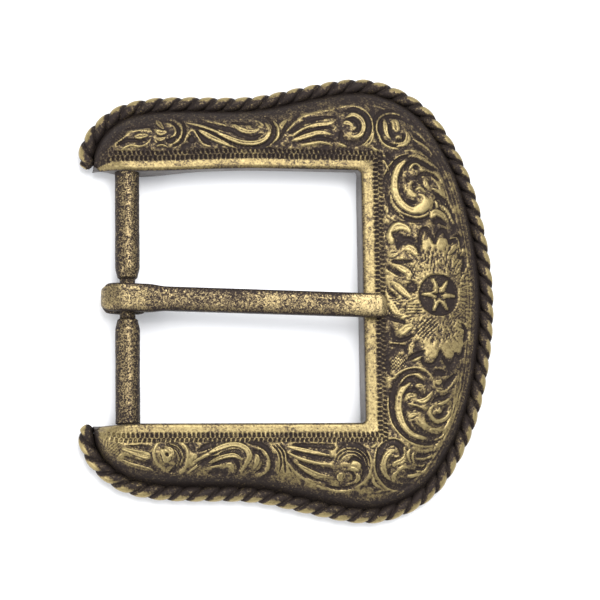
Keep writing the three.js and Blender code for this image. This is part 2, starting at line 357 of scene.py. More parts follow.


# %% [markdown]
# ## Outline
# The rope's centre line is one smooth curve through given points of the upper half, mirrored for the
# lower half. In each row, x is a share of the band or arm, y is a share of the half window and then of
# the shoulder, and the third number pairs the point with a place on the window's edge: 0 to 1 along the
# crossbar, 1 to 2 round the window's corner and 2 to 3 along the arm.

# %% Outline
OUTLINE = np.array([
    [1, 0, 0], [0.97, 0.394, 0.4], [0.876, 0.853, 0.84], [0.752, 1.243, 1], [0.558, 1.669, 1.25],
    [0.42, 1.831, 1.5], [0.268, 1.938, 1.75], [0.1, 2, 2], [-0.035, 1.997, 2.04], [-0.12, 1.952, 2.11],
    [-0.201, 1.897, 2.19], [-0.365, 1.783, 2.365], [-0.452, 1.757, 2.457], [-0.649, 1.745, 2.665],
    [-0.76, 1.722, 2.775], [-0.867, 1.639, 2.86], [-0.947, 1.464, 2.925], [-0.985, 1.303, 2.965],
    [-1, 1.17, 2.985], [-0.998, 1.083, 3],
])
along, across, pairing = OUTLINE.T
outline_x = CROSSBAR_X + along * np.where(along > 0, CROSSBAR_BAND, ARM_LENGTH)
outline_y = np.minimum(across, 1) * HALF_WINDOW + np.maximum(across - 1, 0) * SHOULDER_BAND
upper = np.stack([outline_x, outline_y], 1)
control = np.vstack([(upper * [1, -1])[:0:-1], upper])
print("outline points", len(control))

# %% Smooth curves


def curve_through(points, steps):
    """Centripetal Catmull-Rom through the points, and the place of each sample in their order."""
    points = np.asarray(points, dtype=float)
    ends = np.vstack([2 * points[0] - points[1], points, 2 * points[-1] - points[-2]])
    places = []
    samples = []
    for i in range(len(points) - 1):
        p0, p1, p2, p3 = ends[i:i + 4]
        d0, d1, d2 = [np.linalg.norm(b - a) ** 0.5 for a, b in ((p0, p1), (p1, p2), (p2, p3))]
        t1 = ((p1 - p0) / d0 - (p2 - p0) / (d0 + d1) + (p2 - p1) / d1) * d1
        t2 = ((p2 - p1) / d1 - (p3 - p1) / (d1 + d2) + (p3 - p2) / d2) * d1
        t = np.linspace(0, 1, steps, endpoint=False)[:, None]
        samples.append((2 * t**3 - 3 * t**2 + 1) * p1 + (t**3 - 2 * t**2 + t) * t1
                       + (3 * t**2 - 2 * t**3) * p2 + (t**3 - t**2) * t2)
        places.append(i + t[:, 0])
    samples.append(points[-1:])
    places.append(np.array([len(points) - 1.0]))
    return np.vstack(samples), np.concatenate(places)


def even_run(points, spacing):
    """The same curve with evenly spaced points, and its length."""
    lengths = np.concatenate([[0], np.cumsum(np.linalg.norm(np.diff(points, axis=0), axis=1))])
    wanted = np.linspace(0, lengths[-1], int(lengths[-1] / spacing) + 1)
    return np.stack([np.interp(wanted, lengths, points[:, k]) for k in (0, 1)], 1), lengths[-1]


centre_line, centre_places = curve_through(control, steps=40)
print("rope centre line", round(even_run(centre_line, 1.0)[1], 1), "mm")

# %% [markdown]
# ## The engraved face as a height map
# The face of a cast buckle is carved in shallow relief: scrolls, leaves and a flower stand up from a
# darkened ground. It could be sculpted by hand, but drawing it as strokes is easier to correct. Each
# stroke is a smooth line with a width. A cut goes below the ground and a leaf rises above it with a
# round back. A later stroke covers an earlier one, as a graver would cut it. Places are in millimetres.

# %% Relief map
# Heights that each kind of stroke brings the face to, in millimetres.
CUT = -0.30
LINE = 0.10
LEAF = 0.16
LEAF_EDGE = -0.26
VEIN = -0.02


class Relief:
    """Height over the face in millimetres, on a square grid."""

    def __init__(self, step=0.08):
        self.step = step
        self.x = np.arange(-34.0, 34.0, step)
        self.y = np.arange(-37.0, 37.0, step)
        self.height = np.zeros((len(self.y), len(self.x)))

    def window(self, low, high, margin):
        """The rows and columns of the grid that a stroke can reach."""
        columns = np.searchsorted(self.x, [low[0] - margin, high[0] + margin])
        rows = np.searchsorted(self.y, [low[1] - margin, high[1] + margin])
        return slice(rows[0], rows[1]), slice(columns[0], columns[1])

    def stroke(self, points, half, rise, taper=(0.5, 0.5), soft=0.07, crown=0.45):
        """A line of half-width `half` that brings the height to `rise`. Taper is its pointed share."""
        points = np.asarray(points, dtype=float)
        line = curve_through(points, 14)[0] if len(points) > 2 else points
        line = even_run(line, 0.07)[0]
        along = np.linspace(0, 1, len(line))
        wide = np.full(len(line), float(half))
        for run, pointed in ((along, taper[0]), (1 - along, taper[1])):
            if pointed:
                wide *= np.clip(run / pointed, 0.004, 1) ** 0.42
        rows, columns = self.window(line.min(0), line.max(0), half + 2 * soft)
        gx, gy = np.meshgrid(self.x[columns], self.y[rows])
        best = np.full(gx.shape, np.inf)
        width = np.full(gx.shape, half)
        for (px, py), w in zip(line, wide):
            off = (gx - px) ** 2 + (gy - py) ** 2
            nearer = off < best
            best[nearer] = off[nearer]
            width[nearer] = w
        away = np.sqrt(best)
        mask = 1 - smooth_step(away, width - soft, width + soft)
        from_middle = np.clip(away / np.maximum(width, 0.05), 0, 1)
        target = rise * (1 - crown * from_middle ** 2)
        patch = self.height[rows, columns]
        self.height[rows, columns] = patch * (1 - mask) + target * mask

    def cut(self, half, *points, taper=(0.45, 0.45)):
        """A groove below the ground."""
        self.stroke(points, half, CUT, taper, crown=0.25)

    def line(self, half, *points):
        """A thin raised line, pointed only at its very ends."""
        self.stroke(points, half, LINE, (0.12, 0.12))

    def leaf(self, half, *points, taper=(0.4, 0.7), edge=0.2):
        """A raised leaf or petal with a cut round it, and a vein if it is wide."""
        if edge:
            self.stroke(points, 1.12 * half + edge, LEAF_EDGE, taper, crown=0.2)
        self.stroke(points, 1.12 * half, LEAF, taper)
        if half > 0.33 and len(points) > 2:
            self.stroke(points, 0.085, VEIN, (0.3, 0.3))

    def pit(self, radius, x, y):
        self.stroke([(x - 0.02, y), (x + 0.02, y)], radius, CUT, (0, 0), crown=0.2)

    def hatch(self, centre, size, angle, pitch, depth=0.12):
        """Fine parallel cuts over an oval patch."""
        centre = np.array(centre)
        rows, columns = self.window(centre - max(size), centre + max(size), 0.2)
        gx, gy = np.meshgrid(self.x[columns] - centre[0], self.y[rows] - centre[1])
        turn = math.radians(angle)
        run = gx * math.cos(turn) + gy * math.sin(turn)
        over = gy * math.cos(turn) - gx * math.sin(turn)
        inside = 1 - smooth_step((run / size[0]) ** 2 + (over / size[1]) ** 2, 0.7, 1.0)
        wave = np.cos(2 * np.pi * over / pitch)
        self.height[rows, columns] += inside * depth * (wave - 0.3)

    def at(self, x, y):
        """Height at any place, by bilinear reading."""
        fx = np.clip((x - self.x[0]) / self.step, 0, len(self.x) - 1.001)
        fy = np.clip((y - self.y[0]) / self.step, 0, len(self.y) - 1.001)
        ix, iy = fx.astype(int), fy.astype(int)
        tx, ty = fx - ix, fy - iy
        h = self.height
        top = h[iy, ix] * (1 - tx) + h[iy, ix + 1] * tx
        bottom = h[iy + 1, ix] * (1 - tx) + h[iy + 1, ix + 1] * tx
        return top * (1 - ty) + bottom * ty


relief = Relief()
print("relief grid", relief.height.shape)

# %% [markdown]
# ## Casting unevenness
# A cast ground is never flat. Smooth random values from coarse cells give low swellings, and the same
# helper later gives the grain and patches of the wear. Every call has its own seed, so each run of the
# script makes the same buckle.

# %% Speckle


def speckle(shape, cell, seed):
    """Smooth random values from -1 to 1 whose spots are about `cell` grid steps wide."""
    source = np.random.default_rng(seed)
    coarse = source.uniform(-1, 1, (int(shape[0] / cell) + 3, int(shape[1] / cell) + 3))
    fy = np.arange(shape[0]) / cell
    fx = np.arange(shape[1]) / cell
    iy, ix = fy.astype(int), fx.astype(int)
    ty = smooth_step((fy - iy)[:, None], 0, 1)
    tx = smooth_step((fx - ix)[None, :], 0, 1)
    a = coarse[np.ix_(iy, ix)] * (1 - tx) + coarse[np.ix_(iy, ix + 1)] * tx
    b = coarse[np.ix_(iy + 1, ix)] * (1 - tx) + coarse[np.ix_(iy + 1, ix + 1)] * tx
    return a * (1 - ty) + b * ty


shape = relief.height.shape
relief.height += 0.055 * speckle(shape, 5, 1) + 0.07 * speckle(shape, 9, 2) - 0.03
print("ground from", round(relief.height.min(), 2), "to", round(relief.height.max(), 2))

# %% [markdown]
# ## Scrolls above the flower
# A large scroll fills the wide side above the flower, and a small curl fills the corner. Each is drawn
# from the outside in: the cut that frames it, the raised leaf, and then the cuts and pits inside.

# %% Upper corner and upper scroll


def upper_corner(r):
    r.cut(0.34, (14.5, 24.6), (13.6, 26.4), (13.7, 28.4), (14.8, 29.9), (16.6, 30.4), (18.6, 30.1))
    r.line(0.16, (14.5, 25.3), (13.9, 27.0), (14.3, 28.7), (15.6, 29.7), (17.5, 29.9), (19.3, 29.2),
           (20.9, 28.0), (22.3, 26.7), (23.2, 25.3))
    r.cut(0.30, (15.0, 25.6), (14.5, 27.0), (14.8, 28.5), (16.2, 29.3), (18.0, 29.3), (19.6, 28.4))
    r.leaf(0.42, (15.3, 28.9), (15.4, 27.6), (15.6, 26.2), (16.3, 25.2))
    r.leaf(0.66, (17.0, 28.9), (17.2, 27.8), (17.2, 26.6), taper=(0.2, 0.3), edge=0.1)
    r.cut(0.24, (16.4, 28.4), (16.2, 27.0), (16.5, 26.0), (17.2, 25.9))
    r.leaf(0.55, (19.0, 26.9), (19.2, 25.8), (18.6, 24.9), (17.4, 24.5), (16.5, 24.8), edge=0.16)
    r.cut(0.26, (18.4, 26.4), (18.4, 25.6), (17.8, 25.2), (17.1, 25.1))
    r.line(0.2, (17.0, 25.6), (17.6, 25.9), (18.1, 25.5))
    r.line(0.2, (14.2, 25.7), (14.9, 24.7), (16.2, 24.0), (17.6, 23.8))
    r.cut(0.22, (14.6, 25.9), (15.3, 24.9), (16.5, 24.4), (17.4, 24.5))
    r.cut(0.28, (19.9, 29.0), (21.4, 27.6), (22.7, 25.8))
    r.cut(0.24, (19.9, 26.4), (21.2, 25.8), (22.6, 24.6), (23.8, 23.0))
    r.line(0.15, (19.9, 27.3), (21.1, 26.6), (22.6, 25.2), (24.2, 23.2))
    r.leaf(0.24, (19.9, 25.7), (21.1, 25.1), (22.6, 24.2), (23.6, 22.9), edge=0.16)
    r.cut(0.26, (20.0, 24.4), (21.4, 23.9), (23.0, 22.6), (24.0, 21.4))
    r.line(0.18, (18.3, 23.4), (19.6, 23.7), (21.3, 23.1), (22.9, 22.2), (24.1, 20.8))


def upper_scroll(r):
    r.cut(0.42, (20.4, 22.0), (18.5, 22.6), (16.9, 21.9), (15.8, 20.2), (15.3, 18.2), (15.6, 16.0),
          (16.5, 14.1), (18.1, 12.7), (20.0, 12.1), (21.8, 12.5), (23.0, 13.7), (23.2, 15.3))
    r.line(0.15, (19.3, 23.2), (17.3, 22.5), (15.9, 21.0), (15.0, 19.4))
    r.line(0.16, (15.8, 17.0), (16.3, 15.3), (17.4, 13.7), (19.0, 12.9), (20.6, 12.7), (22.2, 13.4),
           (23.0, 14.9), (22.8, 16.2))
    r.leaf(0.52, (18.7, 22.0), (17.5, 20.9), (16.9, 19.4), (16.7, 17.6), (17.1, 15.9), (18.1, 14.6),
           (19.5, 13.8), (21.0, 14.0), (22.0, 15.0), (21.6, 16.0), (20.7, 16.5), taper=(0.15, 0.2))
    r.stroke([(19.6, 14.0), (20.9, 14.1), (21.9, 15.0), (21.6, 16.1)], 0.85, 0.15, (0.3, 0.3))
    r.cut(0.40, (18.0, 20.6), (17.6, 19.0), (17.7, 17.3), (18.2, 16.0), (19.2, 15.0), (20.3, 15.2))
    r.line(0.15, (18.4, 17.9), (18.6, 16.7), (19.2, 15.9), (20.0, 15.5))
    r.leaf(0.55, (18.8, 17.3), (19.5, 16.4), (20.4, 16.2), edge=0.15)
    r.pit(0.42, 20.0, 17.8)
    r.pit(0.35, 18.9, 18.7)
    r.leaf(0.3, (20.1, 17.2), (21.0, 17.5), (21.8, 16.8), edge=0.12)
    r.cut(0.5, (20.4, 19.5), (20.9, 18.8), (21.2, 18.2), taper=(0.2, 0.3))
    r.cut(0.42, (20.5, 19.3), (21.6, 19.9), (22.9, 19.9), (24.2, 19.0))
    r.leaf(0.45, (21.7, 18.9), (22.0, 18.0), (22.5, 17.4), edge=0.14)
    r.cut(0.36, (18.4, 20.2), (18.8, 21.2), (19.8, 21.8), (21.2, 21.7), (22.4, 21.1), (24.1, 20.6))
    r.leaf(0.3, (19.2, 20.4), (19.6, 21.1), (20.5, 21.4), (21.4, 20.7), edge=0.1)
    r.pit(0.4, 20.3, 20.9)
    r.leaf(0.34, (19.0, 22.6), (20.3, 22.8), (21.6, 22.4), (22.9, 21.7), (24.2, 20.9), edge=0.14)
    r.line(0.16, (20.9, 20.5), (22.4, 20.4), (24.0, 19.8), (25.1, 18.4))
    r.leaf(0.3, (23.0, 17.6), (24.3, 17.0), (25.0, 16.0), (25.4, 14.9), edge=0.16)
    r.cut(0.34, (23.3, 16.6), (24.2, 16.1), (24.9, 15.2), (25.4, 14.0))
    r.leaf(0.3, (23.4, 15.7), (23.8, 14.6), (23.5, 13.4), edge=0.14)
    r.leaf(0.28, (24.2, 15.0), (24.8, 14.1), (24.9, 12.8), edge=0.14)
    r.leaf(0.34, (15.0, 14.6), (15.4, 13.8), (15.4, 13.1), edge=0.14)
    r.line(0.13, (16.0, 15.5), (16.6, 14.3), (17.6, 13.1), (18.3, 12.3))
    r.line(0.13, (15.4, 13.0), (16.6, 12.1), (17.6, 11.9))
    for k in range(5):
        r.line(0.12, (22.9 + 0.62 * k, 19.6 - 0.5 * k), (24.0 + 0.5 * k, 18.3 - 0.8 * k),
               (24.9 + 0.42 * k, 16.4 - 1.0 * k))


upper_corner(relief)
upper_scroll(relief)
print("upper side drawn")

# %% [markdown]
# ## Scrolls below the flower
# The lower scroll turns the other way. It could be a mirrored copy of the upper one, but an engraver draws
# each anew, so its leaves and its corner curl have their own strokes.

# %% Lower scroll and lower corner


def lower_scroll(r):
    r.cut(0.46, (21.7, -13.3), (20.2, -12.3), (18.4, -12.3), (16.8, -13.5), (15.8, -15.3), (15.5, -17.4),
          (15.8, -19.5), (16.8, -21.5), (18.3, -22.9), (20.2, -23.6), (22.5, -23.6), (24.0, -22.8))
    r.line(0.15, (15.1, -14.2), (16.6, -12.6), (18.3, -11.8), (20.0, -11.7), (21.4, -12.3), (22.3, -13.4),
           (22.8, -14.8), (24.2, -15.0))
    r.line(0.15, (15.0, -16.0), (15.0, -18.4), (15.5, -20.6), (16.7, -22.3), (18.2, -23.5), (20.3, -24.2),
           (22.5, -24.1))
    r.line(0.15, (16.1, -19.4), (16.9, -21.1), (18.3, -22.6), (20.0, -23.3))
    r.line(0.16, (16.9, -14.1), (18.2, -13.0), (19.6, -12.8), (20.9, -13.6))
    r.leaf(0.5, (18.6, -14.1), (17.4, -15.0), (16.7, -16.6), (16.6, -18.3), (17.0, -20.0), (17.9, -21.4),
           (19.3, -22.5), (21.2, -23.0), taper=(0.15, 0.3))
    r.cut(0.5, (17.2, -14.6), (18.2, -13.6), (19.5, -13.6), (20.7, -14.2))
    r.leaf(0.36, (19.3, -14.6), (20.4, -14.6), (21.0, -15.4), edge=0.1)
    r.cut(0.36, (17.3, -16.4), (18.2, -15.4), (19.4, -15.3), (20.3, -16.0), (21.2, -16.2))
    r.leaf(0.5, (17.6, -16.9), (18.5, -16.1), (19.6, -16.2), edge=0.12)
    r.hatch((18.6, -16.3), (1.0, 0.5), 60, 0.34)
    r.leaf(0.44, (19.5, -17.0), (20.6, -17.0), (21.5, -16.4), (22.3, -15.4), edge=0.12)
    r.line(0.15, (18.0, -17.4), (19.2, -17.6), (20.5, -18.1), (21.4, -18.1))
    r.cut(0.26, (17.8, -17.6), (17.6, -19.2), (18.1, -20.7), (19.2, -21.9), (20.6, -22.5))
    r.leaf(0.4, (18.1, -19.7), (18.9, -19.2), (19.7, -19.1), edge=0.12)
    r.cut(0.28, (18.3, -18.7), (19.2, -18.1), (20.3, -18.5), (21.1, -19.0))
    r.cut(0.42, (18.8, -20.2), (19.7, -21.3), (21.0, -22.2), (22.7, -22.6), (24.2, -22.0))
    for k in range(4):
        r.line(0.10, (19.6 + 0.42 * k, -19.6 - 0.12 * k), (20.1 + 0.42 * k, -20.4 - 0.1 * k),
               (20.9 + 0.42 * k, -21.2))
    r.cut(0.40, (21.0, -19.3), (21.4, -20.3), (22.5, -20.8), (23.9, -20.5), (25.0, -19.9))
    r.leaf(0.30, (22.5, -17.6), (21.8, -18.3), (21.9, -19.3), (22.7, -20.1), (23.9, -20.0), (25.0, -19.2),
           (25.6, -17.9), taper=(0.2, 0.3), edge=0.16)
    r.cut(0.4, (22.6, -19.2), (23.5, -19.4), (24.3, -18.6), (24.9, -17.6))
    r.leaf(0.3, (22.7, -18.4), (23.5, -18.6), (23.4, -17.9), edge=0.08)
    r.cut(0.36, (22.1, -17.3), (23.0, -16.6), (24.2, -16.4), (25.4, -15.6))
    r.leaf(0.3, (23.0, -17.5), (24.2, -17.2), (25.3, -16.4), edge=0.1)
    r.leaf(0.42, (22.7, -13.8), (23.3, -14.0), (23.9, -13.5), edge=0.14)
    r.cut(0.5, (22.4, -12.6), (23.4, -12.4), (24.6, -12.7), taper=(0.2, 0.4))
    r.cut(0.4, (24.2, -14.9), (24.7, -14.0), (25.6, -13.3), (26.4, -12.5))
    r.line(0.16, (21.5, -21.6), (22.6, -21.4), (23.9, -21.6), (25.0, -20.6), (25.8, -19.0))
    r.line(0.16, (22.8, -15.2), (24.0, -15.5), (25.3, -14.7), (26.2, -13.5))
    for k in range(3):
        r.line(0.12, (26.3 + 0.5 * k, -12.0), (26.2 + 0.45 * k, -16.0), (25.4 + 0.5 * k, -20.0),
               (23.6 + 0.5 * k, -23.2))
    r.leaf(0.34, (15.1, -14.0), (15.0, -13.6), (15.8, -13.0), edge=0.1)


def lower_corner(r):
    r.cut(0.50, (17.1, -25.9), (16.8, -24.3), (15.9, -23.5), (14.6, -23.8), (13.5, -25.0), (13.1, -26.8),
          (13.3, -28.4), (14.3, -29.8), (15.9, -30.5), (17.8, -30.5), (19.4, -30.0), (20.9, -28.9),
          taper=(0.05, 0.25))
    r.line(0.16, (12.9, -24.2), (12.5, -26.2), (12.6, -28.2), (13.5, -29.7), (15.0, -30.9), (17.2, -31.3))
    r.line(0.15, (13.0, -24.4), (14.2, -23.3), (15.9, -22.9), (17.4, -23.7))
    r.leaf(0.42, (16.0, -24.8), (15.1, -25.0), (14.2, -26.0), (13.9, -27.3), (14.3, -28.6), (15.2, -29.5),
           taper=(0.2, 0.4), edge=0.1)
    r.line(0.13, (15.0, -26.2), (15.6, -26.0), (16.6, -25.6))
    r.cut(0.30, (14.8, -27.0), (15.5, -26.2), (16.4, -26.4))
    r.leaf(0.44, (15.3, -27.5), (15.9, -26.9), (17.0, -26.5), (17.6, -25.4), (17.3, -24.4), edge=0.14)
    r.cut(0.26, (15.0, -28.9), (14.9, -28.0), (15.4, -27.3))
    r.leaf(0.42, (15.7, -29.9), (15.7, -28.9), (16.3, -28.1), edge=0.14)
    r.leaf(0.30, (16.4, -28.0), (17.2, -27.4), (18.0, -27.8), edge=0.12)
    r.cut(0.42, (17.5, -27.8), (18.4, -28.2), (19.6, -28.3))
    r.cut(0.5, (16.5, -29.3), (17.8, -29.6), (19.4, -29.2))
    r.leaf(0.3, (17.9, -28.9), (18.9, -28.8), (20.4, -28.5), edge=0.08)
    r.leaf(0.28, (18.3, -24.6), (18.0, -25.6), (18.4, -26.8), edge=0.14)
    r.leaf(0.22, (18.9, -25.0), (18.8, -26.0), (19.1, -27.0), edge=0.12)
    for y, reach in ((-25.5, 22.6), (-26.6, 22.0), (-27.5, 21.2)):
        r.cut(0.32, (19.3, y - 0.1), (20.6, y - 0.15), (reach, y + 0.5), taper=(0.1, 0.7))
        r.line(0.13, (19.4, y - 0.6), (20.8, y - 0.6), (reach + 0.4, y + 0.1))
    r.line(0.13, (19.3, -24.9), (20.9, -24.9), (22.4, -24.6), (23.8, -23.6))
    r.leaf(0.26, (11.9, -24.4), (12.5, -24.1), (13.0, -23.6), edge=0.1)


lower_scroll(relief)
lower_corner(relief)
print("lower side drawn")

# %% [markdown]
# ## The flower
# The middle of the wide side holds a flower: a cut ring round a raised six-pointed star, then a ring of
# fine short cuts, and round petals bounded by arched cuts. The fine cuts are turned by a fixed angle from
# one to the next, as seeds sit in a sunflower, which spreads them evenly without rows.

# %% Flower
FLOWER = np.array([23.7, 0.1])
SEED_CUTS = 340


def around(angle, distance, centre=FLOWER):
    """A place at an angle and a distance from the centre."""
    turn = math.radians(angle)
    return centre[0] + distance * math.cos(turn), centre[1] + distance * math.sin(turn)


PETAL_ARCHES = (
    [(20.7, 6.4), (20.7, 9.4), (21.4, 10.8), (22.5, 9.9), (23.2, 8.3)],
    [(23.2, 8.3), (23.7, 9.9), (24.6, 10.8), (25.4, 9.8), (25.8, 8.4)],
    [(25.8, 8.4), (26.6, 9.5), (27.5, 9.8), (27.8, 8.5), (27.2, 6.4)],
    [(20.3, -9.4), (21.0, -11.0), (22.4, -11.2), (23.3, -10.2), (23.7, -8.8)],
    [(23.7, -8.8), (24.4, -10.4), (25.3, -11.3), (26.0, -10.6), (26.3, -9.1)],
    [(26.3, -9.1), (27.0, -9.9), (27.7, -9.3), (27.8, -7.9)],
    [(27.3, 6.2), (28.1, 6.4), (28.4, 5.2), (27.7, 3.9)],
    [(27.8, -7.4), (28.3, -6.6), (28.3, -5.4), (27.6, -4.4)],
)


def flower(r):
    source = np.random.default_rng(12)
    gx, gy = np.meshgrid(r.x - FLOWER[0], r.y - FLOWER[1])
    away = np.hypot(gx, gy)
    r.height += 0.085 * (1 - smooth_step(away, 8.0, 10.0))
    for arch in PETAL_ARCHES:
        middle = np.mean(arch, axis=0)
        root = middle + 0.35 * (FLOWER - middle)
        r.stroke([root, middle], 1.15, 0.10, (0.4, 0.05), crown=0.25)
    for k in range(SEED_CUTS):
        angle = 137.5 * k
        low = 3.4 + 3.9 * (k / SEED_CUTS) ** 0.9
        turn = source.uniform(-4, 4)
        r.stroke([around(angle, low), around(angle + turn, low + source.uniform(0.7, 1.7))], 0.085,
                 -0.13, (0.3, 0.6))
    for arch in PETAL_ARCHES:
        r.cut(0.33, *arch, taper=(0.3, 0.3))
    r.leaf(0.5, (22.6, 12.6), (23.4, 13.6), (24.6, 13.2), (25.6, 12.0), taper=(0.2, 0.3), edge=0.16)
    r.cut(0.45, (23.0, 11.8), (24.1, 12.3), (25.2, 11.6), taper=(0.2, 0.3))
    r.cut(0.24, (23.3, 15.6), (24.7, 16.1), (26.1, 14.4), (27.2, 11.6))
    r.leaf(0.32, (24.6, 14.9), (25.7, 13.7), (26.6, 11.9), edge=0.14)
    r.stroke([around(a, 1.4) for a in range(0, 361, 30)], 1.75, -0.30, (0, 0), crown=0.0)
    for angle in (110, 57, -2, -59, -111, 178):
        r.leaf(0.46, around(angle, 0.5), around(angle, 3.0), taper=(0.2, 0.95), edge=0)
    r.stroke([around(a, 0.45) for a in range(0, 361, 60)], 0.75, 0.1, (0, 0), crown=0.0)
    for k in range(5):
        r.stroke([around(95 + 72 * k, 0.1), around(95 + 72 * k, 1.15)], 0.2, -0.3, (0, 0.9), crown=0.1)
    ring = [around(a, 3.12) for a in range(0, 361, 20)]
    r.stroke(ring, 0.24, -0.34, (0, 0), crown=0.2)


flower(relief)
print("flower drawn, petal arches", len(PETAL_ARCHES))

# %% [markdown]
# ## Between the flower and the window
# Small leaves and petals crowd the strip beside the window. Patches of fine hatching darken what lies
# between them.

# %% Petals towards the window


def petals_towards_window(r):
    r.leaf(0.62, (16.0, 8.2), (16.1, 10.0), (16.9, 11.1), (18.2, 11.0), (19.3, 10.0), taper=(0.2, 0.4))
    r.stroke([(16.8, 9.8), (17.4, 9.4)], 0.6, -0.3, (0, 0), crown=0.2)
    r.cut(0.36, (17.0, 7.4), (17.4, 8.6), (18.6, 9.1), (19.8, 8.6), (20.4, 7.6), taper=(0.3, 0.3))
    r.leaf(0.62, (20.2, 6.3), (19.4, 7.4), (18.7, 7.7), (18.9, 6.6), edge=0.1)
    r.leaf(0.44, (26.9, 8.6), (26.3, 7.6), (25.4, 6.7), edge=0.16)
    r.line(0.15, (25.9, 9.4), (27.1, 9.6), (27.6, 8.4), (27.5, 6.8))
    r.cut(0.3, (16.0, 5.5), (17.4, 5.4), (19.2, 5.5), taper=(0.1, 0.4))
    r.leaf(0.36, (15.3, 6.5), (16.2, 6.4), (17.2, 6.8), edge=0.12)
    r.leaf(0.5, (16.4, 4.9), (17.6, 4.3), (18.8, 3.4), (18.6, 2.3), taper=(0.3, 0.4))
    r.cut(0.34, (15.3, 4.6), (16.4, 3.8), (17.6, 3.0), taper=(0.1, 0.6))
    r.line(0.12, (15.4, 3.9), (16.3, 3.4), (17.0, 2.9))
    r.leaf(0.5, (15.8, 2.2), (16.8, 1.5), (18.0, 0.4), (19.2, -0.6), taper=(0.3, 0.4))
    r.cut(0.9, (18.6, 1.8), (19.3, 1.2), (19.8, 0.6), taper=(0.3, 0.3))
    r.hatch((19.2, 1.2), (1.1, 0.8), 0, 0.34, 0.08)
    r.cut(0.26, (15.2, 1.0), (15.8, 0.2), (16.9, -0.5))
    r.hatch((19.4, 3.8), (1.2, 1.1), 118, 0.42, 0.12)
    r.leaf(0.9, (19.7, -1.2), (19.0, -2.2), (18.6, -3.2), taper=(0.4, 0.4), edge=0.1)
    r.hatch((19.3, -2.3), (1.6, 1.3), 2, 0.48, 0.16)
    r.leaf(0.6, (15.6, -1.2), (16.3, -2.4), (17.0, -3.2), taper=(0.3, 0.4), edge=0.16)
    r.cut(0.3, (15.0, -3.3), (16.2, -3.9), (17.4, -4.2), (18.2, -4.7), taper=(0.1, 0.4))
    r.leaf(0.62, (19.2, -4.9), (18.2, -5.3), (17.0, -6.3), taper=(0.4, 0.2), edge=0.1)
    r.cut(0.3, (16.0, -5.4), (16.0, -6.6), (16.9, -7.3), (18.2, -7.0), (19.4, -6.3), taper=(0.1, 0.3))
    r.hatch((21.6, -5.2), (2.2, 1.4), 42, 0.50, 0.16)
    r.hatch((22.3, 5.5), (1.9, 1.2), 100, 0.44, 0.10)
    r.leaf(0.42, (19.4, -7.4), (18.8, -8.4), (18.7, -9.6), taper=(0.4, 0.3), edge=0.12)
    r.cut(0.42, (18.3, -10.3), (19.8, -9.6), (21.0, -9.0), taper=(0.2, 0.6))
    r.leaf(0.3, (19.0, -10.6), (20.0, -10.2), (20.6, -9.8), edge=0.06)
    r.stroke([(15.8, -11.6), (16.6, -10.8), (17.2, -10.2)], 0.95, 0.06, (0.4, 0.4))
    r.hatch((16.7, -10.9), (1.6, 1.2), 45, 0.42, 0.2)
    r.cut(0.26, (15.1, -9.6), (15.2, -11.2), (15.4, -12.8), (16.0, -13.2))
    r.cut(0.24, (15.2, -8.1), (16.6, -8.1), (17.8, -8.4), (18.2, -9.4))
    r.line(0.13, (15.2, -7.6), (16.8, -7.8), (18.0, -7.9))


petals_towards_window(relief)
print("petals towards the window drawn")

# %% [markdown]
# ## Leaves along the arms
# Each arm carries three curls joined by fans of long leaves. The long leaves are strokes with long tapers,
# laid side by side, with a thin cut between each two.

# %% Upper arm


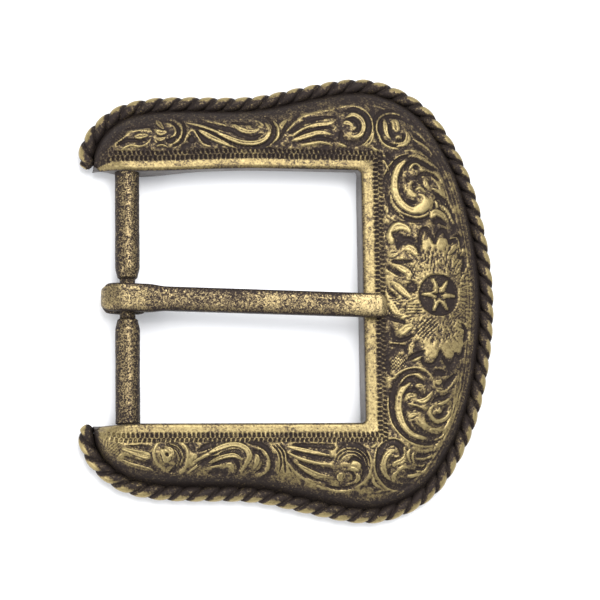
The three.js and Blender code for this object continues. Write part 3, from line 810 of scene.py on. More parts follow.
def upper_arm(r):
    r.line(0.17, (-27.6, 22.5), (-26.0, 23.4), (-24.2, 23.3), (-23.2, 23.8), (-22.5, 24.7))
    r.cut(0.30, (-28.0, 23.4), (-26.4, 24.2), (-24.6, 24.2), (-23.4, 24.4))
    r.leaf(0.50, (-25.2, 24.8), (-24.0, 25.0), (-23.0, 25.2), edge=0.14)
    r.line(0.16, (-26.6, 25.3), (-25.2, 25.8), (-23.6, 26.0), (-22.4, 25.8))
    r.cut(0.26, (-26.8, 26.0), (-25.0, 26.5), (-23.2, 26.6), (-21.9, 26.4))
    r.hatch((-28.0, 25.0), (1.8, 1.2), 135, 0.42)
    r.hatch((-29.4, 23.0), (1.5, 0.9), 100, 0.45)
    r.line(0.12, (-29.6, 22.6), (-28.4, 23.6), (-27.0, 24.6), (-25.6, 26.0))
    r.cut(0.24, (-20.4, 28.6), (-18.8, 28.4), (-17.5, 27.4), (-17.2, 25.8), (-17.8, 24.2), (-19.2, 23.3))
    r.line(0.17, (-20.4, 28.1), (-19.0, 27.9), (-17.9, 26.9), (-17.7, 25.7), (-18.4, 24.3), (-19.8, 23.7))
    r.cut(0.26, (-20.2, 27.7), (-19.1, 27.4), (-18.3, 26.5), (-18.2, 25.5), (-18.9, 24.6))
    r.line(0.18, (-20.2, 27.3), (-19.2, 26.9), (-18.7, 26.1), (-18.9, 25.2), (-19.6, 24.8))
    r.leaf(0.44, (-21.6, 27.9), (-21.1, 27.0), (-20.6, 26.2), edge=0.16)
    r.leaf(0.50, (-21.9, 26.0), (-21.0, 25.6), (-20.0, 25.8), edge=0.14)
    r.leaf(0.34, (-21.9, 24.6), (-21.0, 24.5), (-20.2, 24.9), edge=0.16)
    r.cut(0.42, (-20.2, 24.3), (-19.4, 24.3), (-18.8, 24.9))
    r.leaf(0.2, (-21.8, 23.4), (-20.8, 23.6), (-19.8, 23.2), edge=0.12)
    r.line(0.18, (-17.4, 23.8), (-16.9, 25.2), (-16.0, 26.2), (-15.2, 25.1), (-14.4, 23.9), (-13.0, 23.5))
    r.stroke([(-16.1, 25.3), (-16.1, 24.1)], 0.55, -0.34, (0.5, 0.1), crown=0.2)
    r.cut(0.32, (-15.3, 26.2), (-14.4, 24.9), (-13.0, 23.9), taper=(0.3, 0.3))
    r.leaf(0.46, (-15.0, 26.2), (-13.2, 25.2), (-11.2, 24.3), (-9.2, 23.5), taper=(0.3, 0.5), edge=0.12)
    r.cut(0.18, (-16.4, 26.9), (-14.2, 26.3), (-12.2, 25.3), (-10.2, 24.3), (-8.2, 23.8))
    r.leaf(0.26, (-17.0, 27.5), (-14.6, 26.9), (-12.2, 26.0), (-9.2, 24.7), edge=0.12)
    r.cut(0.32, (-15.0, 27.6), (-12.8, 27.0), (-10.6, 26.4), (-8.4, 26.0), taper=(0.4, 0.3))
    r.leaf(0.30, (-14.6, 28.2), (-12.6, 27.7), (-10.6, 27.1), edge=0.12)
    r.line(0.13, (-16.4, 29.0), (-13.8, 28.8), (-11.4, 28.3), (-9.4, 28.3))
    r.cut(0.42, (-11.4, 24.9), (-9.6, 24.2), (-7.6, 23.6), (-5.4, 23.6), (-3.6, 24.7), (-2.7, 26.2),
          (-3.0, 27.8), (-4.2, 28.9), taper=(0.2, 0.2))
    r.leaf(0.34, (-12.0, 25.8), (-10.0, 24.9), (-8.0, 24.3), (-5.8, 24.3), (-4.2, 25.1), (-3.6, 26.4),
           (-4.2, 27.8), taper=(0.15, 0.3), edge=0.08)
    r.cut(0.36, (-11.6, 26.9), (-9.6, 26.3), (-8.0, 25.4), (-6.2, 25.1), (-4.8, 25.8), taper=(0.2, 0.3))
    r.leaf(0.42, (-9.4, 27.4), (-8.4, 26.6), (-7.0, 26.1), (-5.8, 26.3), (-5.1, 26.9), edge=0.1)
    r.line(0.17, (-10.9, 27.9), (-9.2, 28.2), (-7.2, 28.3), (-5.4, 28.0), (-4.4, 27.2))
    r.cut(0.28, (-9.8, 27.6), (-7.8, 27.5), (-6.2, 27.4))
    r.cut(0.34, (-4.6, 23.0), (-3.8, 23.3), (-2.8, 23.0), taper=(0.1, 0.1))
    r.leaf(0.4, (-2.0, 26.4), (-1.5, 27.4), (-0.6, 28.4), edge=0.18)
    r.cut(0.28, (-1.9, 24.9), (-1.3, 26.2), (0.0, 27.9), (1.6, 29.3))
    r.line(0.16, (-0.9, 26.2), (0.4, 27.6), (2.0, 28.9), (4.2, 29.7), (6.4, 30.2))
    r.cut(0.34, (-0.4, 25.9), (1.2, 27.3), (3.2, 28.3), (5.4, 28.8), (7.4, 28.9))
    r.leaf(0.42, (-0.2, 25.4), (1.8, 26.5), (4.0, 27.4), (6.2, 27.8), (7.6, 28.6), edge=0.1)
    r.cut(0.26, (0.4, 25.4), (2.6, 26.5), (4.8, 27.0), (6.8, 27.0))
    r.leaf(0.42, (-0.1, 24.7), (2.2, 25.5), (4.6, 26.2), (6.9, 25.8), edge=0.08)
    r.cut(0.30, (0.8, 24.4), (2.8, 25.0), (5.0, 25.3), (7.2, 24.8))
    r.leaf(0.26, (1.4, 24.0), (3.0, 24.3), (4.8, 24.6), (6.6, 24.2), edge=0)
    r.leaf(0.28, (-3.2, 24.2), (-2.3, 25.3), (-2.2, 26.8), (-2.9, 28.2), edge=0.12)


def upper_arm_end_curl(r):
    r.cut(0.44, (8.1, 26.6), (8.2, 25.2), (9.6, 24.5), (11.3, 24.9), (12.4, 26.2), (12.7, 27.9),
          (12.0, 29.5), (10.4, 30.3), (8.8, 29.9), taper=(0.1, 0.2))
    r.leaf(0.34, (8.9, 28.8), (10.2, 29.4), (11.4, 28.7), (11.8, 27.4), (11.2, 26.0), (9.8, 25.5),
           taper=(0.2, 0.2), edge=0.08)
    r.cut(0.32, (8.8, 28.4), (10.0, 28.6), (10.9, 27.9), (10.9, 26.9), (9.9, 26.4))
    r.leaf(0.4, (8.4, 27.9), (9.3, 27.9), (10.1, 27.4), edge=0.06)
    r.line(0.16, (7.6, 30.5), (9.6, 31.0), (11.6, 30.6), (12.9, 29.2), (13.3, 27.4), (12.8, 25.6),
           (11.6, 24.2))
    r.leaf(0.3, (7.6, 24.4), (8.3, 24.2), (9.0, 24.0), edge=0.12)
    r.line(0.16, (12.2, 24.0), (13.1, 25.2), (13.5, 26.8))
    r.leaf(0.3, (13.0, 24.0), (14.0, 23.4), (15.4, 22.4), edge=0.14)
    r.leaf(0.26, (14.6, 22.2), (15.3, 21.3), (15.9, 20.2), edge=0.12)
    r.cut(0.26, (15.3, 23.2), (16.0, 22.4), (16.8, 21.9))


upper_arm(relief)
upper_arm_end_curl(relief)
print("upper arm drawn")

# %% [markdown]
# ## The lower arm
# The lower arm has its own set of leaves. Its tip is hatched and brightly rubbed, its middle curl is
# deeply cut, and its last curl near the shoulder is ringed with fine lines.

# %% Lower arm


def lower_arm_tip(r):
    r.leaf(0.60, (-27.4, -24.3), (-25.2, -25.0), (-22.9, -25.6), taper=(1.2, 0.1), edge=0.1)
    for k in range(3):
        r.stroke([(-26.4, -24.55 - 0.16 * k), (-24.6, -25.0 - 0.22 * k), (-23.0, -25.2 - 0.28 * k)],
                 0.07, -0.08, (0.3, 0.3))
    r.cut(0.42, (-26.6, -24.0), (-24.6, -24.1), (-22.9, -24.3), taper=(1.6, 0.05))
    r.cut(0.38, (-26.9, -25.5), (-24.8, -26.3), (-22.8, -26.9), taper=(1.8, 0.05))
    r.leaf(0.34, (-28.0, -25.8), (-25.6, -26.9), (-22.4, -27.7), taper=(0.8, 0.3), edge=0.1)
    r.cut(0.22, (-27.4, -26.8), (-25.0, -27.9), (-22.6, -28.5), (-20.4, -28.7))
    r.line(0.16, (-29.0, -26.2), (-27.2, -27.4), (-25.0, -28.3), (-22.4, -29.0), (-20.2, -29.3),
           (-18.2, -28.9))
    r.hatch((-28.6, -24.6), (1.6, 1.3), 42, 0.40)
    r.hatch((-30.0, -23.0), (1.3, 1.0), 80, 0.42)
    r.hatch((-29.6, -26.2), (1.5, 0.9), 48, 0.45)
    r.line(0.2, (-20.9, -22.9), (-22.0, -23.8), (-22.4, -25.2), (-21.9, -26.6), (-20.6, -27.7))
    r.cut(0.78, (-20.4, -23.7), (-18.9, -24.1), (-18.2, -25.5), (-18.5, -27.1), (-19.8, -28.0),
          taper=(0.5, 0.5))
    r.line(0.10, (-19.9, -23.6), (-18.6, -24.2), (-17.9, -25.6), (-18.3, -27.3))
    r.line(0.10, (-19.8, -24.2), (-18.9, -24.9), (-18.5, -26.0), (-18.9, -27.3))
    r.leaf(0.62, (-21.2, -24.4), (-20.5, -25.3), (-20.5, -26.6), taper=(0.3, 0.3), edge=0.08)
    r.leaf(0.34, (-20.3, -24.1), (-19.6, -24.8), (-19.6, -25.7), edge=0.08)
    r.pit(0.26, -20.3, -25.3)
    r.pit(0.18, -20.9, -24.3)
    r.line(0.16, (-18.4, -23.0), (-17.4, -24.2), (-17.1, -25.8), (-17.5, -27.4), (-18.6, -28.6))
    r.cut(0.44, (-17.0, -23.5), (-16.5, -24.1), (-16.2, -24.9), taper=(0.2, 0.4))
    r.cut(0.50, (-15.5, -24.8), (-14.2, -24.1), (-12.6, -23.6), taper=(0.6, 0.5))
    r.leaf(0.55, (-16.6, -27.0), (-16.2, -26.1), (-15.9, -25.2), taper=(0.4, 0.6), edge=0)
    r.leaf(0.30, (-16.4, -26.6), (-14.4, -25.5), (-12.2, -24.4), (-10.2, -23.5), edge=0.12)
    r.leaf(0.26, (-17.2, -28.3), (-15.4, -26.9), (-13.2, -25.7), (-11.0, -24.7), (-9.2, -24.2), edge=0.12)
    r.cut(0.34, (-15.6, -27.0), (-13.8, -26.1), (-12.0, -25.6), taper=(0.6, 0.3))
    r.line(0.14, (-17.6, -29.2), (-15.4, -28.8), (-13.2, -28.4), (-11.2, -27.8))


def lower_arm_middle(r):
    r.cut(0.36, (-7.6, -23.5), (-5.8, -23.7), (-4.4, -24.8), (-3.7, -26.4), (-3.9, -27.9), (-5.1, -29.0),
          (-6.8, -29.2), taper=(0.2, 0.2))
    r.line(0.17, (-6.6, -24.2), (-5.2, -24.8), (-4.4, -26.2), (-4.6, -27.7), (-5.5, -28.5), (-6.9, -28.7))
    r.cut(0.30, (-6.9, -24.7), (-5.7, -25.3), (-5.1, -26.4), (-5.4, -27.6), (-6.4, -28.2), taper=(0.2, 0.2))
    r.leaf(0.42, (-6.3, -25.3), (-6.2, -26.4), (-6.7, -27.6), edge=0.14)
    r.leaf(0.40, (-14.0, -25.2), (-11.9, -24.2), (-9.8, -23.7), (-8.0, -24.4), (-7.4, -25.6), (-8.0, -26.9),
           (-8.8, -28.3), taper=(0.2, 0.3), edge=0.14)
    r.cut(0.38, (-12.2, -25.3), (-10.4, -24.9), (-8.7, -24.9), taper=(0.4, 0.2))
    r.leaf(0.34, (-13.8, -26.6), (-11.8, -25.8), (-9.8, -25.5), (-8.5, -26.2), taper=(0.3, 0.3), edge=0.08)
    r.cut(0.28, (-13.4, -27.1), (-11.5, -26.3), (-9.8, -26.2), (-9.1, -27.1), (-9.4, -28.5),
          taper=(0.2, 0.3))
    r.leaf(0.44, (-11.2, -27.0), (-10.3, -27.1), (-10.0, -28.1), edge=0.06)
    r.line(0.16, (-14.2, -27.6), (-12.4, -27.1), (-11.0, -27.3))
    r.cut(0.44, (-13.8, -28.2), (-12.2, -28.0), (-10.7, -28.2), taper=(0.3, 0.1))
    for k in range(3):
        r.line(0.13, (-4.2 + 0.62 * k, -23.6), (-3.1 + 0.6 * k, -24.9), (-2.7 + 0.55 * k, -26.6),
               (-2.9 + 0.9 * k, -28.4))
        r.cut(0.15, (-3.8 + 0.62 * k, -23.9), (-2.8 + 0.6 * k, -25.0), (-2.4 + 0.55 * k, -26.5),
              (-2.6 + 0.9 * k, -28.1))
    r.cut(0.40, (-0.6, -23.8), (2.0, -24.0), (4.2, -24.1), (6.2, -24.3), taper=(0.8, 0.05))
    r.leaf(0.34, (-1.6, -24.1), (0.6, -24.6), (2.8, -25.1), (5.4, -25.6), edge=0.1)
    r.cut(0.36, (-0.8, -25.0), (1.8, -25.5), (3.4, -25.9), (5.6, -26.2), taper=(0.7, 0.1))
    r.leaf(0.28, (-1.6, -25.0), (0.5, -26.0), (3.4, -26.8), (5.9, -27.0), edge=0.08)
    r.cut(0.42, (0.4, -26.5), (2.6, -27.4), (4.2, -27.8), (5.9, -27.9), taper=(0.6, 0.1))
    r.leaf(0.40, (0.2, -26.9), (2.0, -28.0), (3.8, -28.7), (5.8, -29.0), edge=0.08)
    r.cut(0.24, (-1.3, -25.8), (0.4, -27.7), (2.6, -29.1), (5.0, -29.8))
    r.line(0.18, (-2.0, -25.9), (-0.2, -28.1), (2.4, -29.8), (4.7, -30.7), (7.0, -31.2), (9.6, -30.9))
    r.cut(0.28, (4.7, -30.2), (6.8, -30.7), (8.9, -30.4), (10.5, -29.3), (11.3, -27.7))


def lower_arm_end_curl(r):
    r.cut(0.9, (6.7, -26.4), (7.3, -25.0), (8.9, -24.3), (10.4, -25.0), (11.2, -26.6), (11.0, -28.6),
          taper=(0.3, 0.4))
    for ring in (1.9, 2.4, 2.9):
        r.line(0.10, *[around(a, ring, (8.7, -27.3)) for a in range(160, -30, -25)])
    r.cut(0.34, (8.2, -26.7), (9.3, -26.1), (10.4, -26.9), (10.9, -28.2), (10.2, -29.6), taper=(0.2, 0.3))
    r.leaf(0.85, (8.6, -27.3), (9.4, -27.4), (9.9, -28.0), taper=(0.2, 0.3), edge=0.1)
    r.cut(0.22, (7.7, -28.2), (8.9, -28.3), (9.2, -29.3), (8.2, -29.9))
    r.leaf(0.50, (7.4, -28.4), (6.9, -29.0), (7.3, -29.6), edge=0.12)
    r.leaf(0.36, (9.7, -28.5), (9.9, -29.2), (9.3, -29.9), edge=0.1)
    r.line(0.17, (11.2, -24.6), (11.9, -26.2), (11.9, -28.0), (11.1, -29.6), (9.6, -30.6))
    r.cut(0.28, (12.2, -29.0), (11.8, -30.2), (13.0, -30.4))
    r.leaf(0.24, (12.2, -28.8), (12.6, -30.0), (13.8, -30.8), edge=0.1)


lower_arm_tip(relief)
lower_arm_middle(relief)
lower_arm_end_curl(relief)
print("lower arm drawn, heights", round(relief.height.min(), 2), "to", round(relief.height.max(), 2))

# %% [markdown]
# ## The frame's ribs
# The frame is a shell swept through ribs. A rib starts at the window, runs over the bright rim and the
# domed face, and ends in the groove beside the rope. The frame could be a flat shape with thickness, but
# ribs follow both edges at once. They are spaced evenly, so that the relief is equally fine everywhere.

# %% Window edge and even ribs
FRAME_STEPS = 1005
WINDOW_CORNER = 0.8
HEEL_FLARE = 0.3
TIP_POINT = len(OUTLINE) - 1


def window_edge(place):
    """Points on the window's edge for the upper half, one for each place from 0 to 3."""
    straight = HALF_WINDOW - WINDOW_CORNER
    arm_start = CROSSBAR_X - WINDOW_CORNER
    turn = np.clip(place - 1, 0, 1) * math.pi / 2
    x = np.where(place <= 1, CROSSBAR_X, arm_start + WINDOW_CORNER * np.cos(turn))
    y = np.where(place <= 1, place * straight, straight + WINDOW_CORNER * np.sin(turn))
    arm_x = arm_start + (ARM_TIP_X - arm_start) * np.clip(place - 2, 0, 1)
    flare = HEEL_FLARE * smooth_step(-arm_x, -BAR_X - 2, -ARM_TIP_X)
    return np.where(place < 2, x, arm_x), np.where(place < 2, y, HALF_WINDOW + flare)


def rope_line_at(u):
    """Points on the rope's centre line, where u counts outline points from the middle upwards."""
    return np.stack([np.interp(u + TIP_POINT, centre_places, centre_line[:, k]) for k in (0, 1)], 1)


def paired_place(u):
    """Place on the window's edge that belongs to a place on the outline."""
    return np.interp(np.abs(u), np.arange(len(OUTLINE)), pairing)


def even_ribs(count):
    """Values of u that are evenly spaced halfway between window and rope."""
    u = np.linspace(-1, 1, 4001) * TIP_POINT
    edge_x, edge_y = window_edge(paired_place(u))
    middle = (rope_line_at(u) + np.stack([edge_x, np.sign(u) * edge_y], 1)) / 2
    travel = np.concatenate([[0], np.cumsum(np.linalg.norm(np.diff(middle, axis=0), axis=1))])
    return np.interp(np.linspace(0, travel[-1], count), travel, u)


ribs = even_ribs(FRAME_STEPS)
place = paired_place(ribs)
print("ribs", len(ribs))

# %% [markdown]
# ## Both ends of each rib
# The outer end stands a little inside the rope's centre line, so that the rope overlaps the groove. The
# arms are not quite true: the upper one leans into the window, and both tips droop and close up to the
# rope, as hand-finished castings do.

# %% Rib ends
ROPE_SEAT = 1.2
NEARBY = 0.04
TURN_IN = 0.85
TIP_REACH = 0.45
TIP_RUN = 5.0
TIP_DROOP = 2.6


def edge_shift(x, y):
    """The upper arm's inner edge leans this much into the window towards its tip."""
    return TURN_IN * smooth_step(-x, 4.0, 27.0) * (y > 0)


tangent = rope_line_at(ribs + NEARBY) - rope_line_at(ribs - NEARBY)
tangent /= np.linalg.norm(tangent, axis=1)[:, None]
inwards = np.stack([-tangent[:, 1], tangent[:, 0]], 1)
outer = rope_line_at(ribs) + ROPE_SEAT * inwards
inner = np.stack(window_edge(place), 1)
inner[:, 1] *= np.where(ribs < 0, -1, 1)
inner[:, 1] -= edge_shift(inner[:, 0], inner[:, 1])
inner[:, 0] -= TIP_REACH * smooth_step(-inner[:, 0], 28.0, -ARM_TIP_X)
span = outer - inner
width = np.linalg.norm(span, axis=1)[:, None]
across_dir = span / width
on_crossbar = 1 - smooth_step(place, 0.7, 2.1)[:, None]
fall = TIP_DROOP * np.maximum(0, (ARM_TIP_X + TIP_RUN - inner[:, :1]) / TIP_RUN) ** 2
rim = RIM_HEIGHT - CROSSBAR_DIP * on_crossbar - fall
groove = GROOVE_HEIGHT - fall / 2
rim_edge = np.minimum(RIM_WIDTH + (CROSSBAR_RIM_WIDTH - RIM_WIDTH) * on_crossbar, width * 0.2)
print("rib lengths", round(width.min(), 2), "to", round(width.max(), 2))

# %% [markdown]
# ## The smooth face
# Before any carving the face is a low dome between the rim and the groove. Its columns of points are
# close together over the dome, to hold the relief, and few over the rim. Both edges are rounded over.

# %% Smooth face
FACE_COLUMNS = 74
EDGE_ROUND = 0.42
EDGE_DROP = 0.38
TIP_ROUND = 0.8
TIP_DROP = 0.9
GROOVE_ROUND = 1.1


def face_height(distance):
    """Height of the uncarved face, at a distance from the window."""
    share = np.maximum(0, (distance - rim_edge) / (width - rim_edge))
    return rim + DOME_RISE * np.sin(np.pi * share) - (rim - groove) * share ** 2.6


rim_shares = np.array([0, 0.02, 0.08, 0.16, 0.28, 0.42, 0.58, 0.74, 0.88])
face_shares = np.linspace(0, 1, FACE_COLUMNS)
distance = np.hstack([rim_edge * rim_shares, rim_edge + (width - rim_edge) * face_shares])
from_groove = width - distance
top_x = inner[:, :1] + across_dir[:, :1] * distance
top_y = inner[:, 1:] + across_dir[:, 1:] * distance
near_tip = 1 - smooth_step(top_x, ARM_TIP_X, ARM_TIP_X + TIP_RUN)
round_over = np.clip(1 - distance / (EDGE_ROUND + TIP_ROUND * near_tip), 0, 1)
smooth_top = face_height(distance) - (EDGE_DROP + TIP_DROP * near_tip) * round_over ** 2
smooth_top -= np.clip(1 - from_groove / GROOVE_ROUND, 0, 1) ** 2
print("smooth face", distance.shape, "highest", round(smooth_top.max(), 2))

# %% [markdown]
# ## Carving the face
# The relief is read at every point and faded out at the rim and the groove. Two rows of punched teeth
# follow the rim, as if struck one by one. Faint lines run along the groove on the wide side.

# %% Carved face
TOOTH_PITCH = 0.73
TOOTH_DEPTH = 0.30
BORDER_PITCH = 0.62
BORDER_RISE = 0.05
lower_arm_side = top_y < -HALF_WINDOW
upper_arm_side = top_y > HALF_WINDOW
past_side = top_x - CROSSBAR_X - CROSSBAR_RIM_WIDTH
past_arm = np.abs(top_y) + edge_shift(top_x, top_y) - HALF_WINDOW - RIM_WIDTH
along_rim = np.where(past_side > past_arm, top_y, top_x)
tip_share = 1 - smooth_step(top_x, -29.5, -26.0)
beyond = np.maximum(past_side, past_arm) * (1 - tip_share) + (distance - rim_edge) * tip_share


def teeth(offset, low, high, lean):
    """One row of punched teeth between two distances from the rim."""
    across_row = np.clip((beyond - low) / (high - low), 0, 1)
    inside = smooth_step(beyond, low - 0.05, low + 0.08)
    inside = inside * (1 - smooth_step(beyond, high - 0.08, high + 0.05))
    wave = np.cos(2 * np.pi * (along_rim / TOOTH_PITCH + offset + lean * across_row))
    return inside * smooth_step(wave, -0.25 - 0.5 * across_row, 0.55)


teeth_fade = smooth_step(top_x, ARM_TIP_X + 0.6, ARM_TIP_X + 3.0)
tooth = np.maximum(teeth(0.0, 0.05, 0.78, 0.0), teeth(0.45, 0.86, 1.5, 0.25)) * teeth_fade
in_field = smooth_step(beyond, 1.35, 1.65) * smooth_step(from_groove, 0.9, 2.0)
engraved = relief.at(top_x, top_y) * in_field - TOOTH_DEPTH * tooth
drift = speckle(distance.shape, 34, 14)
border = np.cos(2 * np.pi * (from_groove + 0.12 * drift) / BORDER_PITCH)
border *= smooth_step(from_groove, 0.7, 1.2) * (1 - smooth_step(from_groove, 2.4, 3.8))
shoulder = smooth_step(top_x, 8.0, 17.0)
engraved += BORDER_RISE * border * shoulder
print("engraved from", round(engraved.min(), 2), "to", round(engraved.max(), 2))

# %% [markdown]
# ## Wear and painted shade of the face
# A belt rubs the rim most, then the tops of the relief. The band beside the rope stays black: partly
# patina in the groove, partly painted shade where the shoulder falls towards it. The wear could be
# painted by hand, but here it follows the carved height, so that every cut keeps its dark.

# %% Wear and painted shade of the face
grain = speckle(distance.shape, 3, 8)
patches = speckle(distance.shape, 26, 9)
wide_side = (place < 1.0)[:, None] & (np.abs(top_y) < HALF_WINDOW)
# Patina and painted shade: a dark band beside the rope, wider on the upper arm.
patina_and_shade_band = np.where(wide_side, 1.0, np.where(top_y > 0, 2.0, 1.3)) + 0.35 * patches
rubbed = smooth_step(from_groove, patina_and_shade_band - 0.3, patina_and_shade_band + 0.9)
high_spots = 0.50 * smooth_step(engraved, -0.12, 0.03) + 0.38 * smooth_step(engraved, 0.02, 0.12)
wear_and_painted_light = (0.06 + high_spots) * (0.16 + 0.84 * rubbed)
wear_and_painted_light += (0.10 * patches + 0.06 * lower_arm_side - 0.08 * upper_arm_side) * rubbed
wear_and_painted_light -= 0.09 * smooth_step(top_x, 21.0, 27.0) * (1 - smooth_step(np.abs(top_y), 9.0, 14.0))
wear_and_painted_light += 0.10 * smooth_step(border, 0.3, 0.9) * shoulder
wear_and_painted_light += (0.08 + 0.10 * grain + 0.08 * patches) * (1 - rubbed) * smooth_step(from_groove, 0.6, 1.6)
on_rim = 1 - smooth_step(beyond, -0.25, 0.05)
rim_worn = 0.68 + 0.12 * grain + 0.10 * patches - 0.07 * upper_arm_side
wear_and_painted_light = wear_and_painted_light * (1 - on_rim) + on_rim * rim_worn
# Painted shade: the rounded-over window edge is darkened over its first 0.25 mm.
wear_and_painted_light *= 1 - 0.6 * np.clip(1 - distance / 0.25, 0, 1)
lower_tip = smooth_step(-top_x, 24.0, 28.0) * (1 - smooth_step(-top_x, 30.4, 31.6))
lower_tip *= smooth_step(-top_y, 20.5, 22.0) * (1 - smooth_step(-top_y, 25.0, 28.0))
wear_and_painted_light += 0.26 * lower_tip * (1 - on_rim)
wear_and_painted_light *= 1 - 0.55 * near_tip * (1 - on_rim) * (1 - lower_tip)
top_z = smooth_top + engraved + 0.02 * grain * in_field
print("mean wear", round(wear_and_painted_light.mean(), 2))

# %% [markdown]
# ## The hollow back
# A casting of this size is hollow behind, to save metal. The back follows the face 2 mm below it and
# comes down to a flat foot along the outer edge. Where the bar enters an arm, the wall swells into a lug.

# %% Hollow back
SHELL = 2.0
FOOT_WIDTH = 1.4
LIP_WIDTH = 1.2
LUG_WIDTH = 3.2
LUG_CENTRE = BAR_X + 1
ARM_WALL_BOTTOM = 3.0
CROSSBAR_WALL_BOTTOM = 0.6
from_lug = np.abs(inner[:, :1] - LUG_CENTRE) / np.where(inner[:, :1] < BAR_X, 7.0, 12.0)
lug = np.cos(np.minimum(1, from_lug) * np.pi / 2) ** 2
wall_bottom = ARM_WALL_BOTTOM + (CROSSBAR_WALL_BOTTOM - ARM_WALL_BOTTOM) * on_crossbar
wall_bottom = wall_bottom * (1 - lug)
foot = np.minimum(FOOT_WIDTH, width * 0.3)
slope = np.minimum(0.6, width * 0.08)
back_start = np.maximum(np.minimum(LIP_WIDTH + (LUG_WIDTH - LIP_WIDTH) * lug, width * 0.35), rim_edge)
back_run = (width - foot - back_start - 2 * slope) * np.linspace(0, 1, 7)
back_distance = np.hstack([np.zeros(width.shape), back_start, back_start + slope + back_run,
                           width - foot, width])
back_z = np.maximum(face_height(back_distance) - SHELL, wall_bottom / 2 + 0.3)
back_z[:, :2] = wall_bottom
back_z[:, -2:] = 0
back_x = inner[:, :1] + across_dir[:, :1] * back_distance
back_y = inner[:, 1:] + across_dir[:, 1:] * back_distance
print("back columns", back_distance.shape[1])

# %% [markdown]
# ## Closing the frame
# Each rib becomes a closed loop: over the face, down under the rope, back along the hollow and up the
# window's wall. The two points under the rope hide the frame's edge in the rope's shade. The wall gets
# a painted reflection: a mottled grey that stands in for the pale floor seen in the metal.

# %% Frame piece
WALL_ROWS = 4
UNDER_ROPE = 0.45
HIDDEN_DROPS = (0.1, 0.35)
BACK_WORN = 0.12
WALL_WORN = 0.22
hidden = rope_line_at(ribs) + UNDER_ROPE * inwards
two = np.ones((len(ribs), len(HIDDEN_DROPS)))
rises = np.arange(WALL_ROWS - 1, 0, -1) / WALL_ROWS
wall_z = top_z[:, :1] + (back_z[:, :1] - top_z[:, :1]) * rises
three = np.ones(wall_z.shape)
loop_x = np.hstack([top_x, hidden[:, :1] * two, back_x[:, ::-1], inner[:, :1] * three])
loop_y = np.hstack([top_y, hidden[:, 1:] * two, back_y[:, ::-1], inner[:, 1:] * three])
loop_z = np.hstack([top_z, ROPE_Z - np.array(HIDDEN_DROPS) * two, back_z[:, ::-1], wall_z])
loop_wear_and_shade = np.hstack([wear_and_painted_light, 0 * two, np.full(back_x.shape, BACK_WORN), WALL_WORN * three])
# Painted reflection of the pale floor: full on the wall rows, 0.3 on the window's edge.
wall_reflection = np.zeros(loop_x.shape)
wall_reflection[:, -WALL_ROWS:] = 1.0
wall_reflection[:, 0] = 0.3
make_piece("engraved_frame", loop_x, loop_y, loop_z, loop_wear_and_shade, frame_brass,
           "buckle_frame", "frame", wall_reflection)

# %% [markdown]
# ## The rope edge
# The border is a rope of two strands. Two curves could be wound round each other, but here one tube has
# a section with two lobes, and the lobes turn steadily along the centre line. That keeps the strands
# pressed together. Rubbing shows on the outer crowns, and the lay between the strands stays black.

# %% Rope's run
ROPE_OVERRUN = 1.3
RING_SPACING = 0.24
end_step = centre_line[-1] - centre_line[-2]
end_run = ROPE_OVERRUN * end_step / np.linalg.norm(end_step)
rope_run = np.vstack([centre_line[:1] + end_run * [1, -1], centre_line, centre_line[-1:] + end_run])
rope_line, rope_length = even_run(rope_run, RING_SPACING)
rope_forward = np.gradient(rope_line, axis=0)
rope_forward /= np.linalg.norm(rope_forward, axis=1)[:, None]
rope_out = np.stack([rope_forward[:, 1], -rope_forward[:, 0]], 1)
print("rope rings", len(rope_line), "length", round(rope_length, 1))

# %% Two strands
LUMP_SPACING = 2.9
ROPE_AROUND = 40
ROPE_END = 0.9
lumps = round(rope_length / LUMP_SPACING)
ring_angle = np.linspace(0, 2 * np.pi, ROPE_AROUND, endpoint=False)[None, :]
lay = np.linspace(0, lumps * 2 * np.pi, len(rope_line))[:, None]
off_crown = np.abs((lay - 2 * ring_angle + np.pi) % (2 * np.pi) - np.pi) / np.pi
lay_cut = np.exp(-((1 - off_crown) / 0.18) ** 2)
radius = ROPE_RADIUS * (1.0 - 0.25 * off_crown ** 2 - 0.28 * lay_cut)
ring_count = np.arange(len(rope_line))
from_end = np.minimum(ring_count, ring_count[::-1])[:, None] * RING_SPACING
radius *= np.sqrt(np.clip(from_end / ROPE_END, 0.05, 1))
rope_x = rope_line[:, :1] + rope_out[:, :1] * radius * np.cos(ring_angle)
rope_y = rope_line[:, 1:] + rope_out[:, 1:] * radius * np.cos(ring_angle)
rope_z = ROPE_Z + radius * np.sin(ring_angle)
crown = 1 - smooth_step(off_crown, 0.40, 0.74)
facing_out = smooth_step(np.cos(ring_angle) + 0.3 * np.maximum(rope_out[:, :1], 0), 0.12, 0.62)
rope_worn = 0.05 + crown * (0.08 + 0.88 * facing_out) + 0.10 * speckle(rope_x.shape, 5, 21) * crown
make_piece("twisted_rope", rope_x, rope_y, rope_z, rope_worn, rope_brass,
           "buckle_frame", "rope_edge")

# %% [markdown]
# ## The heel bar
# The bar is turned between the arm tips: full thickness, with a taper down to the neck that carries the
# prong. A cylinder with cuts would be too clean, so the radius is a formula of the place along the bar,
# with a little unevenness. The top is painted lighter, partly as worn streaks and partly as a painted
# highlight, and the sides stay darker, partly as painted shade.

# %% Bar's profile
NECK_RADIUS = 1.25
NECK_HALF = 3.1
SHOULDER_LENGTH = 1.9
SHOULDER_FALL = 0.32
SPIGOT_RADIUS = 1.5
BAR_INTO_LUG = 2.0
BAR_AROUND = 64


